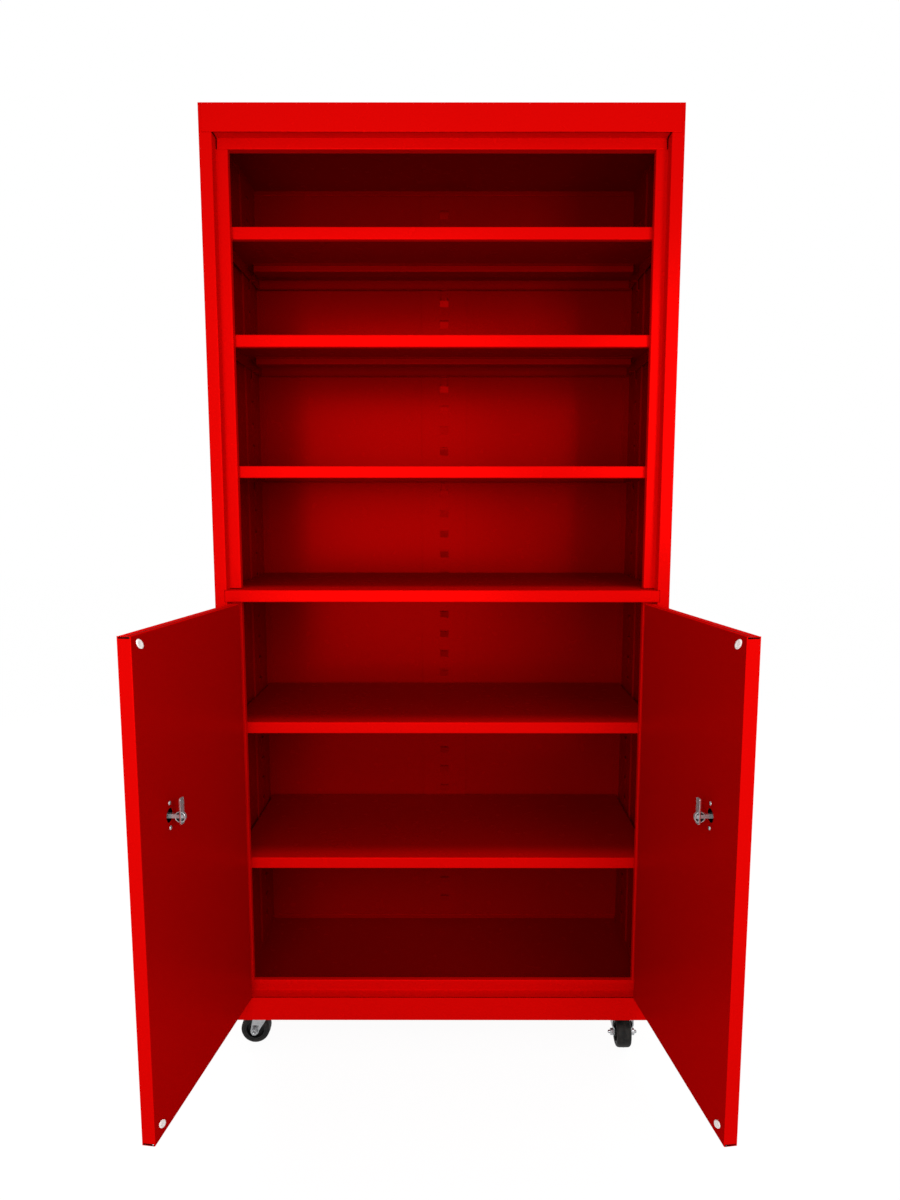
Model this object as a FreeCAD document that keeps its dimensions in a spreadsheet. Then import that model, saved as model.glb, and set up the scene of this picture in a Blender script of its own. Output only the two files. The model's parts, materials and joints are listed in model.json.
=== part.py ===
import FreeCAD, Part
import math
import os

import Sketcher

# Roll front tool cabinet: an open upper case over a lower case with two doors, on four castors.
# The model stands on the floor at Z = 0, X = 0 is its middle, and -Y is its front.
# The doors stand open, and each is built closed and then turned about its hinge pins.

SIZES = (
    ("carcass_width", 914.4, "outside width of the folded steel case, 36 inches"),
    ("carcass_height", 1844.0, "height of the case without its castors"),
    ("carcass_depth", 457.2, "front to back of the case, 18 inches"),
    ("sheet", 1.2, "thickness of the steel sheet"),
    ("stile_face", 24.5, "width of the front flange of a side panel"),
    ("recess_depth", 28.0, "how far the door frame steps back behind the front"),
    ("jamb_face", 22.5, "width of the inner frame behind the doors"),
    ("jamb_return", 15.0, "short flange that stiffens the inner frame"),
    ("rear_flange", 16.0, "flange of a side panel behind the back panel"),
    ("header_face", 52.0, "height of the front face of the header"),
    ("header_lip", 20.0, "height of the inner face of the header"),
    ("header_return", 19.0, "flange under the header"),
    ("header_flange", 22.0, "flange of the header under the top panel"),
    ("sill_face", 52.0, "height of the front face of the sill"),
    ("sill_lip", 23.5, "rise of the sill behind the doors"),
    ("sill_return", 11.0, "flange on top of the sill"),
    ("sill_flange", 22.0, "flange of the sill on the bottom panel"),
    ("corner_strip", 6.0, "strip of a side panel beside the header and the sill"),
    ("corner_slit", 1.8, "slit between two folded frame pieces"),
    ("panel_lip", 12.0, "lip round the top and bottom panels"),
    ("bend_radius", 1.9, "outside radius of a bend"),
    ("mid_shelf_top", 927.5, "top of the fixed shelf over the doors"),
    ("rail_face", 24.2, "height of the front rail of the fixed shelf"),
    ("rail_tab", 5.0, "end of the front rail that sits in a notch of the stile"),
    ("tab_drop", 0.4, "how much lower that end is than the shelf"),
    ("rail_slit", 1.6, "slit over and under the rail at the inner frame"),
    ("mid_shelf_step", 52.0, "where the fixed shelf widens behind the frame"),
    ("upper_shelf_top_height", 1636.5, "height of the top of each movable shelf"),
    ("upper_shelf_middle_height", 1432.6, "the same, second shelf from the top"),
    ("upper_shelf_bottom_height", 1175.5, "the same, third shelf from the top"),
    ("lower_shelf_top_height", 644.0, "the same, upper shelf behind the doors"),
    ("lower_shelf_bottom_height", 346.0, "the same, lower shelf behind the doors"),
    ("shelf_lip", 24.0, "depth of the edge of a shelf"),
    ("shelf_return", 12.0, "flange turned in under a shelf"),
    ("shelf_front_gap", 2.0, "shelf to inner frame"),
    ("shelf_gap", 4.0, "shelf to post"),
    ("stiffener_front", 312.0, "front edge of a shelf stiffener"),
    ("stiffener_width", 46.0, "width of the raised part of a stiffener"),
    ("stiffener_depth", 14.0, "depth of a stiffener"),
    ("stiffener_flange", 12.0, "welded flange of a stiffener"),
    ("stiffener_short", 18.0, "stiffener to the side lip of its shelf"),
    ("post_depth", 4.0, "thickness of a slotted post"),
    ("post_width", 110.0, "width of a slotted post"),
    ("post_end", 15.0, "post to the top and bottom of the case"),
    ("front_post_middle", 115.0, "slots of the front posts, from the front of the case"),
    ("rear_post_middle", 360.0, "slots of the rear side posts, from the front of the case"),
    ("slot_width", 20.5, "width of a slot"),
    ("slot_height", 4.5, "height of a slot"),
    ("first_slot", 66.0, "height of the lowest slot"),
    ("slot_pitch", 50.8, "slot to slot, 2 inches"),
    ("louver_height", 15.0, "height of the louver under a slot"),
    ("louver_depth", 1.8, "how far a louver stands out"),
    ("clip_hang", 8.0, "how far under its slot a clip may hold a shelf"),
    ("clip_width", 14.0, "width of a shelf clip"),
    ("clip_plate", 1.5, "thickness of a shelf clip"),
    ("clip_clear", 0.3, "shelf clip to louver"),
    ("clip_ledge", 12.0, "ledge of a clip under the shelf"),
    ("tongue_height", 3.0, "height of the tongue of a clip in its slot"),
    ("hook_drop", 4.0, "hook of a clip behind the post"),
    ("hook_thickness", 1.2, "thickness of the hook of a clip"),
    ("door_thickness", 23.0, "thickness of a door"),
    ("door_shell_depth", 17.0, "depth of the outer shell of a door"),
    ("door_seam", 0.6, "seam between the two skins of a door"),
    ("door_return", 14.0, "flange round the back of the outer shell"),
    ("door_side_gap", 3.0, "door to stile, with both hinge leaves between"),
    ("door_middle_gap", 3.0, "door to door"),
    ("door_top_gap", 2.5, "door to rail"),
    ("door_bottom_gap", 3.0, "door to sill"),
    ("hinge_height", 76.0, "height of a hinge, 3 inches"),
    ("hinge_end", 70.0, "end of a door to its outer hinge"),
    ("hinge_leaf", 1.0, "thickness of a hinge leaf"),
    ("hinge_leaf_width", 17.0, "width of a hinge leaf"),
    ("knuckle_radius", 2.8, "outside radius of a hinge knuckle"),
    ("knuckle_gap", 0.4, "knuckle to knuckle"),
    ("hinge_front_gap", 0.2, "knuckle to the front of the case"),
    ("hinge_pin_radius", 1.5, "radius of a hinge pin"),
    ("running_fit", 0.05, "radial play of a turning piece"),
    ("bumper_radius", 9.0, "radius of a door bumper"),
    ("bumper_height", 4.5, "height of a door bumper"),
    ("door_corner_slit", 2.8, "slit over and under the flange of the free edge"),
    ("bumper_side", 25.0, "bumper to the free edge of the door"),
    ("bumper_top", 15.5, "upper bumper to the top of the door"),
    ("bumper_bottom", 22.0, "lower bumper to the bottom of the door"),
    ("latch_height", 583.0, "height of the latch over the bottom of the case"),
    ("latch_reach", 331.0, "hinge pin to latch"),
    ("latch_hole_radius", 12.3, "hole in the inner skin round the latch"),
    ("rivet_spacing", 43.0, "latch rivet to latch rivet"),
    ("rivet_radius", 2.4, "radius of a rivet shank"),
    ("rivet_head_radius", 4.5, "radius of a rivet head"),
    ("rivet_head_height", 2.2, "height of a rivet head"),
    ("rose_radius", 24.0, "radius of the latch rose"),
    ("rose_height", 5.0, "thickness of the latch rose"),
    ("rose_face_radius", 20.0, "radius of the raised middle of the rose"),
    ("rose_rim", 2.5, "thickness of the rose at its rim"),
    ("sleeve_radius", 9.0, "radius of the sleeve in the outer skin"),
    ("sleeve_length", 12.0, "length of the sleeve in the door"),
    ("spindle_radius", 6.0, "radius of the latch spindle in its sleeve"),
    ("spindle_square", 8.0, "square end of the spindle"),
    ("spindle_end", 27.5, "spindle beyond the inner skin"),
    ("lever_length", 92.0, "length of the lever"),
    ("lever_width", 16.0, "width of the lever"),
    ("lever_height", 10.0, "thickness of the lever"),
    ("lever_stand", 20.0, "lever over the rose"),
    ("cam_reach", 32.0, "latch axis to the tip of the cam"),
    ("cam_width", 14.0, "width of the cam"),
    ("cam_thickness", 2.5, "thickness of the cam"),
    ("cam_seat", 20.0, "inner skin to the cam"),
    ("clamp_radius", 9.5, "radius of the clamp"),
    ("clamp_length", 11.0, "length of the clamp between the cam and the door"),
    ("castor_height", 82.6, "floor to the bottom of the case, 3.25 inches"),
    ("castor_side", 63.0, "king pin to the side of the case"),
    ("castor_end", 58.0, "king pin to the front or back of the case"),
    ("wheel_radius", 31.75, "radius of a wheel, 2.5 inches across"),
    ("wheel_width", 32.0, "width of a tyre"),
    ("tyre_corner", 3.5, "corner of a tyre"),
    ("tyre_depth", 9.0, "thickness of a tyre"),
    ("hub_boss_radius", 9.0, "radius of the boss of a hub"),
    ("hub_rim", 3.5, "thickness of the rim of a hub"),
    ("hub_web", 7.0, "thickness of the web of a hub"),
    ("wheel_side_gap", 1.5, "wheel to fork leg"),
    ("trail", 20.0, "king pin to axle"),
    ("fork_leg", 2.6, "thickness of a fork leg"),
    ("fork_crown", 3.0, "thickness of the top of a fork"),
    ("fork_crown_radius", 24.5, "radius of the top of a fork"),
    ("fork_end_radius", 9.0, "round end of a fork leg"),
    ("fork_top_front", 20.0, "king pin to the leading edge of a fork leg at its top"),
    ("fork_top_back", 15.0, "king pin to the trailing edge of a fork leg at its top"),
    ("race_radius", 20.0, "radius of the ball race"),
    ("race_height", 4.0, "height of the ball race"),
    ("swivel_gap", 0.4, "race to fork, and fork to pin head"),
    ("king_pin_radius", 5.0, "radius of a king pin"),
    ("king_pin_head_radius", 8.0, "radius of the head of a king pin"),
    ("king_pin_head", 2.5, "thickness of the head of a king pin"),
    ("axle_radius", 4.0, "radius of an axle"),
    ("axle_hex", 7.5, "corner radius of the axle's head and nut"),
    ("axle_hex_height", 6.0, "height of the axle's head and nut"),
    ("axle_end", 5.5, "end of the axle beyond its nut and its head"),
    ("plate_length", 92.0, "castor plate, front to back"),
    ("plate_width", 60.0, "castor plate, side to side"),
    ("plate_thickness", 3.0, "thickness of a castor plate"),
    ("plate_holes_long", 75.0, "hole to hole in a castor plate, front to back"),
    ("plate_holes_wide", 44.0, "hole to hole in a castor plate, side to side"),
    ("stud_radius", 4.0, "radius of a castor stud"),
    ("stud_play", 0.25, "play of a castor stud in its hole"),
    ("stud_nut", 7.0, "corner radius of the nut of a stud"),
    ("stud_nut_height", 4.5, "height of the nut of a stud"),
    ("stud_end", 2.0, "end of a stud beyond its nut"),
)

SHELVES = (
    "upper_shelf_top",
    "upper_shelf_middle",
    "upper_shelf_bottom",
    "lower_shelf_top",
    "lower_shelf_bottom",
)
DOOR_OPEN_DEG = 98.0
HINGES_PER_DOOR = 3
KNUCKLES_PER_HINGE = 3
CASTOR_TURNS_DEG = {
    "front_left": -90.0,
    "front_right": 0.0,
    "rear_left": -150.0,
    "rear_right": 160.0,
}
SIDES = {"left": -1, "right": 1}


class Size:
    """A length that knows its number and the expression that ties it to the sheet."""

    def __init__(self, number, text):
        self.number = number
        self.text = text

    def __add__(self, other):
        other = as_size(other)
        return Size(self.number + other.number, "(%s + %s)" % (self.text, other.text))

    def __sub__(self, other):
        other = as_size(other)
        return Size(self.number - other.number, "(%s - %s)" % (self.text, other.text))

    def __mul__(self, factor):
        return Size(self.number * factor, "(%s * %r)" % (self.text, factor))

    def __truediv__(self, factor):
        return Size(self.number / factor, "(%s / %r)" % (self.text, factor))

    def __neg__(self):
        return self * -1.0


def as_size(value):
    if isinstance(value, Size):
        return value
    return Size(float(value), "(%r)" % float(value))


doc = FreeCAD.newDocument("roll_front_tool_cabinet")
sheet = doc.addObject("Spreadsheet::Sheet", "Sizes")
for row, (alias, number, note) in enumerate(SIZES, start=1):
    sheet.set("A%d" % row, note)
    sheet.set("B%d" % row, str(number))
    sheet.setAlias("B%d" % row, alias)
doc.recompute()

S = {alias: Size(float(number), "Sizes.%s" % alias) for alias, number, note in SIZES}
ZERO = as_size(0.0)
parts = []


# Helpers for sketches and features

def new_body(name):
    body = doc.addObject("PartDesign::Body", name)
    body.Label = name
    return body


def attach(body, name, role, level=ZERO):
    """An empty sketch on an origin plane of the body, moved along its axis to the level."""
    sketch = body.newObject("Sketcher::SketchObject", name)
    plane = [item for item in body.Origin.OriginFeatures if item.Role == role][0]
    sketch.AttachmentSupport = [(plane, "")]
    sketch.MapMode = "FlatFace"
    shift = -level if role == "XZ_Plane" else level
    sketch.setExpression("AttachmentOffset.Base.z", shift.text)
    return sketch


def tie(sketch, kind, geometry, point, size):
    """Hold one coordinate of a point at a signed distance from the sketch's origin."""
    index = sketch.addConstraint(Sketcher.Constraint(kind, -1, 1, geometry, point, size.number))
    sketch.setExpression("Constraints[%d]" % index, size.text)


def outline(body, name, role, corners, level=ZERO):
    """A closed outline of straight lines through the corners."""
    sketch = attach(body, name, role, level)
    corners = [(as_size(across), as_size(up)) for across, up in corners]
    count = len(corners)
    for index in range(count):
        start = FreeCAD.Vector(corners[index][0].number, corners[index][1].number, 0)
        following = corners[(index + 1) % count]
        end = FreeCAD.Vector(following[0].number, following[1].number, 0)
        sketch.addGeometry(Part.LineSegment(start, end), False)
    for index in range(count):
        following = (index + 1) % count
        sketch.addConstraint(Sketcher.Constraint("Coincident", index, 2, following, 1))
    for index, (across, up) in enumerate(corners):
        tie(sketch, "DistanceX", index, 1, across)
        tie(sketch, "DistanceY", index, 1, up)
    return sketch


def rectangle(body, name, role, low, high, level=ZERO):
    corners = [(low[0], low[1]), (high[0], low[1]), (high[0], high[1]), (low[0], high[1])]
    return outline(body, name, role, corners, level)


def rings(body, name, role, places, radius, level=ZERO):
    """One circle at each place, all of one radius."""
    sketch = attach(body, name, role, level)
    for across, up in places:
        across, up = as_size(across), as_size(up)
        centre = FreeCAD.Vector(across.number, up.number, 0)
        circle = Part.Circle(centre, FreeCAD.Vector(0, 0, 1), radius.number)
        geometry = sketch.addGeometry(circle, False)
        tie(sketch, "DistanceX", geometry, 3, across)
        tie(sketch, "DistanceY", geometry, 3, up)
        index = sketch.addConstraint(Sketcher.Constraint("Radius", geometry, radius.number))
        sketch.setExpression("Constraints[%d]" % index, radius.text)
    return sketch


def pad(body, name, sketch, length, towards_minus=False):
    """Add material from the sketch along the positive axis, or the negative one."""
    feature = body.newObject("PartDesign::Pad", name)
    feature.Profile = sketch
    feature.setExpression("Length", length.text)
    feature.Reversed = is_flipped(sketch) != towards_minus
    return feature


def pocket(body, name, sketch, length, towards_minus=False):
    """Cut from the sketch along the positive axis, or the negative one."""
    feature = body.newObject("PartDesign::Pocket", name)
    feature.Profile = sketch
    feature.setExpression("Length", length.text)
    feature.Reversed = is_flipped(sketch) == towards_minus
    return feature


def is_flipped(sketch):
    return sketch.AttachmentSupport[0][0].Role == "XZ_Plane"


def spin(body, name, sketch, axis_role):
    feature = body.newObject("PartDesign::Revolution", name)
    feature.Profile = sketch
    axis = [item for item in body.Origin.OriginFeatures if item.Role == axis_role][0]
    feature.ReferenceAxis = (axis, [""])
    feature.Angle = 360.0
    return feature


def repeat(body, name, feature, axis_role, pitch, count):
    """Repeat one feature along an axis of the body."""
    doc.recompute()
    pattern = body.newObject("PartDesign::LinearPattern", name)
    pattern.Originals = [feature]
    axis = [item for item in body.Origin.OriginFeatures if item.Role == axis_role][0]
    pattern.Direction = (axis, [""])
    pattern.Occurrences = count
    pattern.setExpression("Length", (pitch * float(count - 1)).text)
    body.Tip = pattern
    return pattern


def bend_edges(body, name, places):
    """Round the upright edges at the given places of the plan, as bending the sheet does."""
    doc.recompute()
    base = body.Tip
    chosen = []
    for index, edge in enumerate(base.Shape.Edges, start=1):
        first, last = edge.Vertexes[0].Point, edge.Vertexes[-1].Point
        is_upright = math.hypot(first[0] - last[0], first[1] - last[1]) < 1e-6
        if is_upright and any(abs(first[0] - x.number) < 1e-4 and abs(first[1] - y.number) < 1e-4
                              for x, y in places):
            chosen.append("Edge%d" % index)
    feature = body.newObject("PartDesign::Fillet", name)
    feature.Base = (base, chosen)
    feature.setExpression("Radius", S["bend_radius"].text)
    body.Tip = feature
    return feature


def keep(name, item, placement):
    """Place a finished sub-part and put it on the list of pieces to be written."""
    item.Label = name
    item.Placement = placement
    parts.append((name, item))


def group(name, shapes, placement):
    """One node that holds several like solids."""
    item = doc.addObject("Part::Feature", name)
    item.Shape = Part.makeCompound(shapes)
    keep(name, item, placement)


def block(low, high):
    """A plain block between two corners given as sizes or numbers."""
    low = [as_size(value).number for value in low]
    high = [as_size(value).number for value in high]
    corner = FreeCAD.Vector(min(low[0], high[0]), min(low[1], high[1]), min(low[2], high[2]))
    lengths = [abs(one - other) for one, other in zip(high, low)]
    return Part.makeBox(lengths[0], lengths[1], lengths[2], corner)


def rod(start, direction, length, radius):
    return Part.makeCylinder(radius, length, FreeCAD.Vector(*start), FreeCAD.Vector(*direction))


def regular(start, direction, corner_radius, sides):
    """A regular polygon round a line."""
    points = []
    for index in range(sides + 1):
        angle = 2.0 * math.pi * index / sides
        point = FreeCAD.Vector(corner_radius * math.cos(angle), corner_radius * math.sin(angle), 0)
        points.append(point)
    wire = Part.makePolygon(points)
    turn = FreeCAD.Rotation(FreeCAD.Vector(0, 0, 1), FreeCAD.Vector(*direction))
    wire.Placement = FreeCAD.Placement(FreeCAD.Vector(*start), turn)
    return wire


def prism(start, direction, length, corner_radius, sides):
    """A bar with flat sides, as a nut or a plain small pin."""
    wire = regular(start, direction, corner_radius, sides)
    return Part.Face(wire).extrude(FreeCAD.Vector(*direction) * length)


# Places that several pieces share

SHEET = S["sheet"]
HALF_WIDTH = S["carcass_width"] / 2.0
WALL_FACE = HALF_WIDTH - SHEET
DEPTH = S["carcass_depth"]
HEIGHT = S["carcass_height"]
BACK_FACE = DEPTH - SHEET
FLANGE_FACE = BACK_FACE - SHEET
RECESS_X = HALF_WIDTH - S["stile_face"]
JAMB_X = RECESS_X - S["jamb_face"]
RECESS_Y = S["recess_depth"]
HEADER_BOTTOM = HEIGHT - S["header_face"]
OPENING_TOP = HEADER_BOTTOM - S["header_lip"]
SILL_TOP = S["sill_face"] + S["sill_lip"]
MID_TOP = S["mid_shelf_top"]
RAIL_BOTTOM = MID_TOP - S["rail_face"]
SHELF_X = WALL_FACE - S["post_depth"] - S["shelf_gap"]
SHELF_FRONT = RECESS_Y + S["jamb_return"] + S["shelf_front_gap"]
SHELF_BACK = BACK_FACE - S["post_depth"] - S["shelf_gap"]
RAIL_END = HALF_WIDTH - S["corner_strip"]
PIVOT_X = RECESS_X - S["door_side_gap"] / 2.0
PIVOT_Y = -(S["knuckle_radius"] + S["hinge_front_gap"])
DOOR_START = S["door_side_gap"] / 2.0
DOOR_END = PIVOT_X - S["door_middle_gap"] / 2.0
DOOR_FRONT = -PIVOT_Y
DOOR_BACK = DOOR_FRONT + S["door_thickness"]
DOOR_BOTTOM = S["sill_face"] + S["door_bottom_gap"]
DOOR_TOP = RAIL_BOTTOM - S["door_top_gap"]

# The frame of the model is centred on the whole object with its doors open.
OPEN_ANGLE = math.radians(DOOR_OPEN_DEG)
door_reach = DOOR_END.number * math.sin(OPEN_ANGLE) - DOOR_BACK.number * math.cos(OPEN_ANGLE)
foremost = PIVOT_Y.number - door_reach
FRONT_Y = -(foremost + DEPTH.number) / 2.0
CASE_PLACE = FreeCAD.Placement(
    FreeCAD.Vector(0, FRONT_Y, S["castor_height"].number), FreeCAD.Rotation())


def shelf_top(name):
    return S[name + "_height"]


# Sides of the case

def side_panel(name, side):
    """One sheet folded round the corner: stile, recess, inner frame and rear flange."""
    body = new_body(name)

    def across(size):
        return size * float(side)

    tip_y = RECESS_Y + S["jamb_return"]
    corners = [
        (HALF_WIDTH - S["rear_flange"], BACK_FACE),
        (HALF_WIDTH, BACK_FACE),
        (HALF_WIDTH, ZERO),
        (RECESS_X, ZERO),
        (RECESS_X, RECESS_Y),
        (JAMB_X, RECESS_Y),
        (JAMB_X, tip_y),
        (JAMB_X + SHEET, tip_y),
        (JAMB_X + SHEET, RECESS_Y + SHEET),
        (RECESS_X + SHEET, RECESS_Y + SHEET),
        (RECESS_X + SHEET, SHEET),
        (WALL_FACE, SHEET),
        (WALL_FACE, FLANGE_FACE),
        (HALF_WIDTH - S["rear_flange"], FLANGE_FACE),
    ]
    section = outline(body, name + "_section", "XY_Plane", [(across(x), y) for x, y in corners])
    pad(body, name + "_fold", section, HEIGHT)
    bends = [(across(HALF_WIDTH), BACK_FACE), (across(HALF_WIDTH), ZERO), (across(RECESS_X), ZERO),
             (across(JAMB_X), RECESS_Y)]
    bend_edges(body, name + "_bends", bends)

    beyond = SHEET * 4.0
    clear_y = tip_y + beyond
    notches = (
        ("header", RAIL_END, -beyond, HEADER_BOTTOM, HEIGHT + beyond),
        ("header_lip", RECESS_X, RECESS_Y, OPENING_TOP, HEADER_BOTTOM),
        ("rail", RECESS_X + S["rail_tab"], -beyond, RAIL_BOTTOM, MID_TOP),
        ("rail_lip", RECESS_X, RECESS_Y, RAIL_BOTTOM - S["rail_slit"], MID_TOP + S["rail_slit"]),
        ("sill", RAIL_END, -beyond, -beyond, S["sill_face"]),
        ("sill_lip", RECESS_X, RECESS_Y, S["sill_face"], SILL_TOP),
    )
    for label, reach, start_y, low, high in notches:
        notch = rectangle(body, "%s_%s_notch" % (name, label), "XY_Plane",
                          (across(JAMB_X - beyond), start_y), (across(reach), clear_y), low)
        pocket(body, "%s_%s_cut" % (name, label), notch, high - low)
    for label, low in (("bottom", ZERO), ("top", HEIGHT - S["panel_lip"])):
        room = rectangle(body, "%s_%s_corner" % (name, label), "XY_Plane",
                         (across(HALF_WIDTH - S["rear_flange"] - beyond), FLANGE_FACE - beyond),
                         (across(WALL_FACE), DEPTH), low)
        pocket(body, "%s_%s_corner_cut" % (name, label), room, S["panel_lip"])
    keep(name, body, CASE_PLACE)


# Rails that close the front

def header_rail():
    """The header is folded twice, so that its lip lines up with the inner frame."""
    body = new_body("header_rail")
    top_plan = [
        (ZERO, HEIGHT), (SHEET, HEIGHT), (SHEET, HEIGHT - SHEET),
        (S["header_flange"], HEIGHT - SHEET), (S["header_flange"], HEIGHT - SHEET * 2.0),
        (SHEET, HEIGHT - SHEET * 2.0), (SHEET, HEADER_BOTTOM), (ZERO, HEADER_BOTTOM),
    ]
    face = outline(body, "header_face_section", "YZ_Plane", top_plan, -RAIL_END)
    pad(body, "header_face_fold", face, RAIL_END * 2.0)
    lip_end = RECESS_X - S["corner_slit"]
    tip_y = RECESS_Y + S["header_return"]
    lip_plan = [
        (ZERO, HEADER_BOTTOM), (ZERO, HEADER_BOTTOM + SHEET),
        (RECESS_Y + SHEET, HEADER_BOTTOM + SHEET), (RECESS_Y + SHEET, OPENING_TOP + SHEET),
        (tip_y, OPENING_TOP + SHEET), (tip_y, OPENING_TOP),
        (RECESS_Y, OPENING_TOP), (RECESS_Y, HEADER_BOTTOM),
    ]
    lip = outline(body, "header_lip_section", "YZ_Plane", lip_plan, -lip_end)
    pad(body, "header_lip_fold", lip, lip_end * 2.0)
    keep("header_rail", body, CASE_PLACE)


def sill_rail():
    """The sill stands on the bottom panel and rises behind the doors as their stop."""
    body = new_body("sill_rail")
    face_plan = [
        (ZERO, ZERO), (SHEET, ZERO), (SHEET, SHEET), (S["sill_flange"], SHEET),
        (S["sill_flange"], SHEET * 2.0), (SHEET, SHEET * 2.0),
        (SHEET, S["sill_face"]), (ZERO, S["sill_face"]),
    ]
    face = outline(body, "sill_face_section", "YZ_Plane", face_plan, -RAIL_END)
    pad(body, "sill_face_fold", face, RAIL_END * 2.0)
    lip_end = RECESS_X - S["corner_slit"]
    ledge = S["sill_face"] - SHEET
    tip_y = RECESS_Y + S["sill_return"]
    lip_plan = [
        (ZERO, S["sill_face"]), (ZERO, ledge), (RECESS_Y + SHEET, ledge),
        (RECESS_Y + SHEET, SILL_TOP - SHEET), (tip_y, SILL_TOP - SHEET), (tip_y, SILL_TOP),
        (RECESS_Y, SILL_TOP), (RECESS_Y, S["sill_face"]),
    ]
    lip = outline(body, "sill_lip_section", "YZ_Plane", lip_plan, -lip_end)
    pad(body, "sill_lip_fold", lip, lip_end * 2.0)
    keep("sill_rail", body, CASE_PLACE)


# Panels

def back_panel():
    body = new_body("back_panel")
    plan = rectangle(body, "back_panel_plan", "XY_Plane", (-HALF_WIDTH, BACK_FACE),
                     (HALF_WIDTH, DEPTH))
    pad(body, "back_panel_sheet", plan, HEIGHT)
    keep("back_panel", body, CASE_PLACE)


def top_panel():
    """A sheet with lips at its sides and back, and none at the header."""
    body = new_body("top_panel")
    lip = S["panel_lip"]
    plan = rectangle(body, "top_panel_plan", "XY_Plane", (-WALL_FACE, SHEET),
                     (WALL_FACE, BACK_FACE), HEIGHT - lip)
    pad(body, "top_panel_block", plan, lip)
    inner = WALL_FACE - SHEET
    hollow = rectangle(body, "top_panel_hollow", "XY_Plane", (-inner, -SHEET),
                       (inner, BACK_FACE - SHEET), HEIGHT - lip)
    pocket(body, "top_panel_lips", hollow, lip - SHEET)
    front = rectangle(body, "top_panel_front", "XY_Plane", (-HALF_WIDTH, -SHEET),
                      (HALF_WIDTH, S["header_flange"]), HEIGHT - lip)
    pocket(body, "top_panel_front_cut", front, lip - SHEET)
    keep("top_panel", body, CASE_PLACE)


def castor_places():
    """King pin of each castor in the plan, measured from the front of the case."""
    side_x = HALF_WIDTH - S["castor_side"]
    back_y = DEPTH - S["castor_end"]
    return {
        "front_left": (-side_x, S["castor_end"]),
        "front_right": (side_x, S["castor_end"]),
        "rear_left": (-side_x, back_y),
        "rear_right": (side_x, back_y),
    }


def stud_places():
    """Four studs round each king pin."""
    places = []
    for pin_x, pin_y in castor_places().values():
        for step_x in (-0.5, 0.5):
            for step_y in (-0.5, 0.5):
                stud_x = pin_x + S["plate_holes_wide"] * step_x
                stud_y = pin_y + S["plate_holes_long"] * step_y
                places.append((stud_x.number, stud_y.number))
    return places


def bottom_panel():
    """The lowest sheet of the case and its floor, with lips up its sides and back."""
    body = new_body("bottom_panel")
    lip = S["panel_lip"]
    plan = rectangle(body, "bottom_panel_plan", "XY_Plane", (-WALL_FACE, SHEET),
                     (WALL_FACE, BACK_FACE))
    pad(body, "bottom_panel_block", plan, lip)
    inner = WALL_FACE - SHEET
    hollow = rectangle(body, "bottom_panel_hollow", "XY_Plane", (-inner, -SHEET),
                       (inner, BACK_FACE - SHEET), SHEET)
    pocket(body, "bottom_panel_lips", hollow, lip)
    front = rectangle(body, "bottom_panel_front", "XY_Plane", (-HALF_WIDTH, -SHEET),
                      (HALF_WIDTH, S["sill_flange"]), SHEET)
    pocket(body, "bottom_panel_front_cut", front, lip)
    keep("bottom_panel", body, CASE_PLACE)


# Shelves

def pan_shelf(name, plan, inner, top, depth):
    """A sheet with a lip all round, and a flange turned in under the front and back lips."""
    body = new_body(name)
    bottom = top - depth
    block_plan = outline(body, name + "_plan", "XY_Plane", plan, bottom)
    pad(body, name + "_block", block_plan, depth)
    hollow = outline(body, name + "_hollow", "XY_Plane", inner, bottom + SHEET)
    pocket(body, name + "_inside", hollow, depth - SHEET * 2.0)
    front_y = plan[0][1] + SHEET + S["shelf_return"]
    back_y = SHELF_BACK - SHEET - S["shelf_return"]
    narrow = min(abs(x.number) for x, y in inner)
    half = [x for x, y in inner if abs(x.number) == narrow and x.number > 0][0]
    mouth = rectangle(body, name + "_mouth", "XY_Plane", (-half, front_y), (half, back_y),
                      bottom - SHEET)
    pocket(body, name + "_opening", mouth, SHEET * 3.0)
    return body


def movable_shelf(name):
    def box(inset):
        half = SHELF_X - inset
        return [(-half, SHELF_FRONT + inset), (half, SHELF_FRONT + inset),
                (half, SHELF_BACK - inset), (-half, SHELF_BACK - inset)]
    body = pan_shelf(name, box(ZERO), box(SHEET), shelf_top(name), S["shelf_lip"])
    keep(name, body, CASE_PLACE)


def mid_shelf():
    """The fixed shelf: its front lip is the rail over the doors and sits in both stiles.

    The tabs under the stiles are a little lower, so that a board the size of the shelf lies on it.
    """
    rail_x = RECESS_X + S["rail_tab"]
    step_y = S["mid_shelf_step"]

    def tee(inset):
        front, back = ZERO + inset, SHELF_BACK - inset
        narrow, wide, step = rail_x - inset, SHELF_X - inset, step_y + inset
        return [(-narrow, front), (narrow, front), (narrow, step), (wide, step),
                (wide, back), (-wide, back), (-wide, step), (-narrow, step)]
    body = pan_shelf("mid_shelf", tee(ZERO), tee(SHEET), MID_TOP, S["rail_face"])
    tab_y = RECESS_Y + S["jamb_return"] + S["tab_drop"]
    for label, side in SIDES.items():
        tab = rectangle(body, "mid_shelf_%s_tab" % label, "XY_Plane",
                        ((JAMB_X - S["tab_drop"]) * float(side), -SHEET),
                        ((rail_x + SHEET) * float(side), tab_y), MID_TOP - S["tab_drop"])
        pocket(body, "mid_shelf_%s_tab_cut" % label, tab, SHEET)
    keep("mid_shelf", body, CASE_PLACE)


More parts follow.
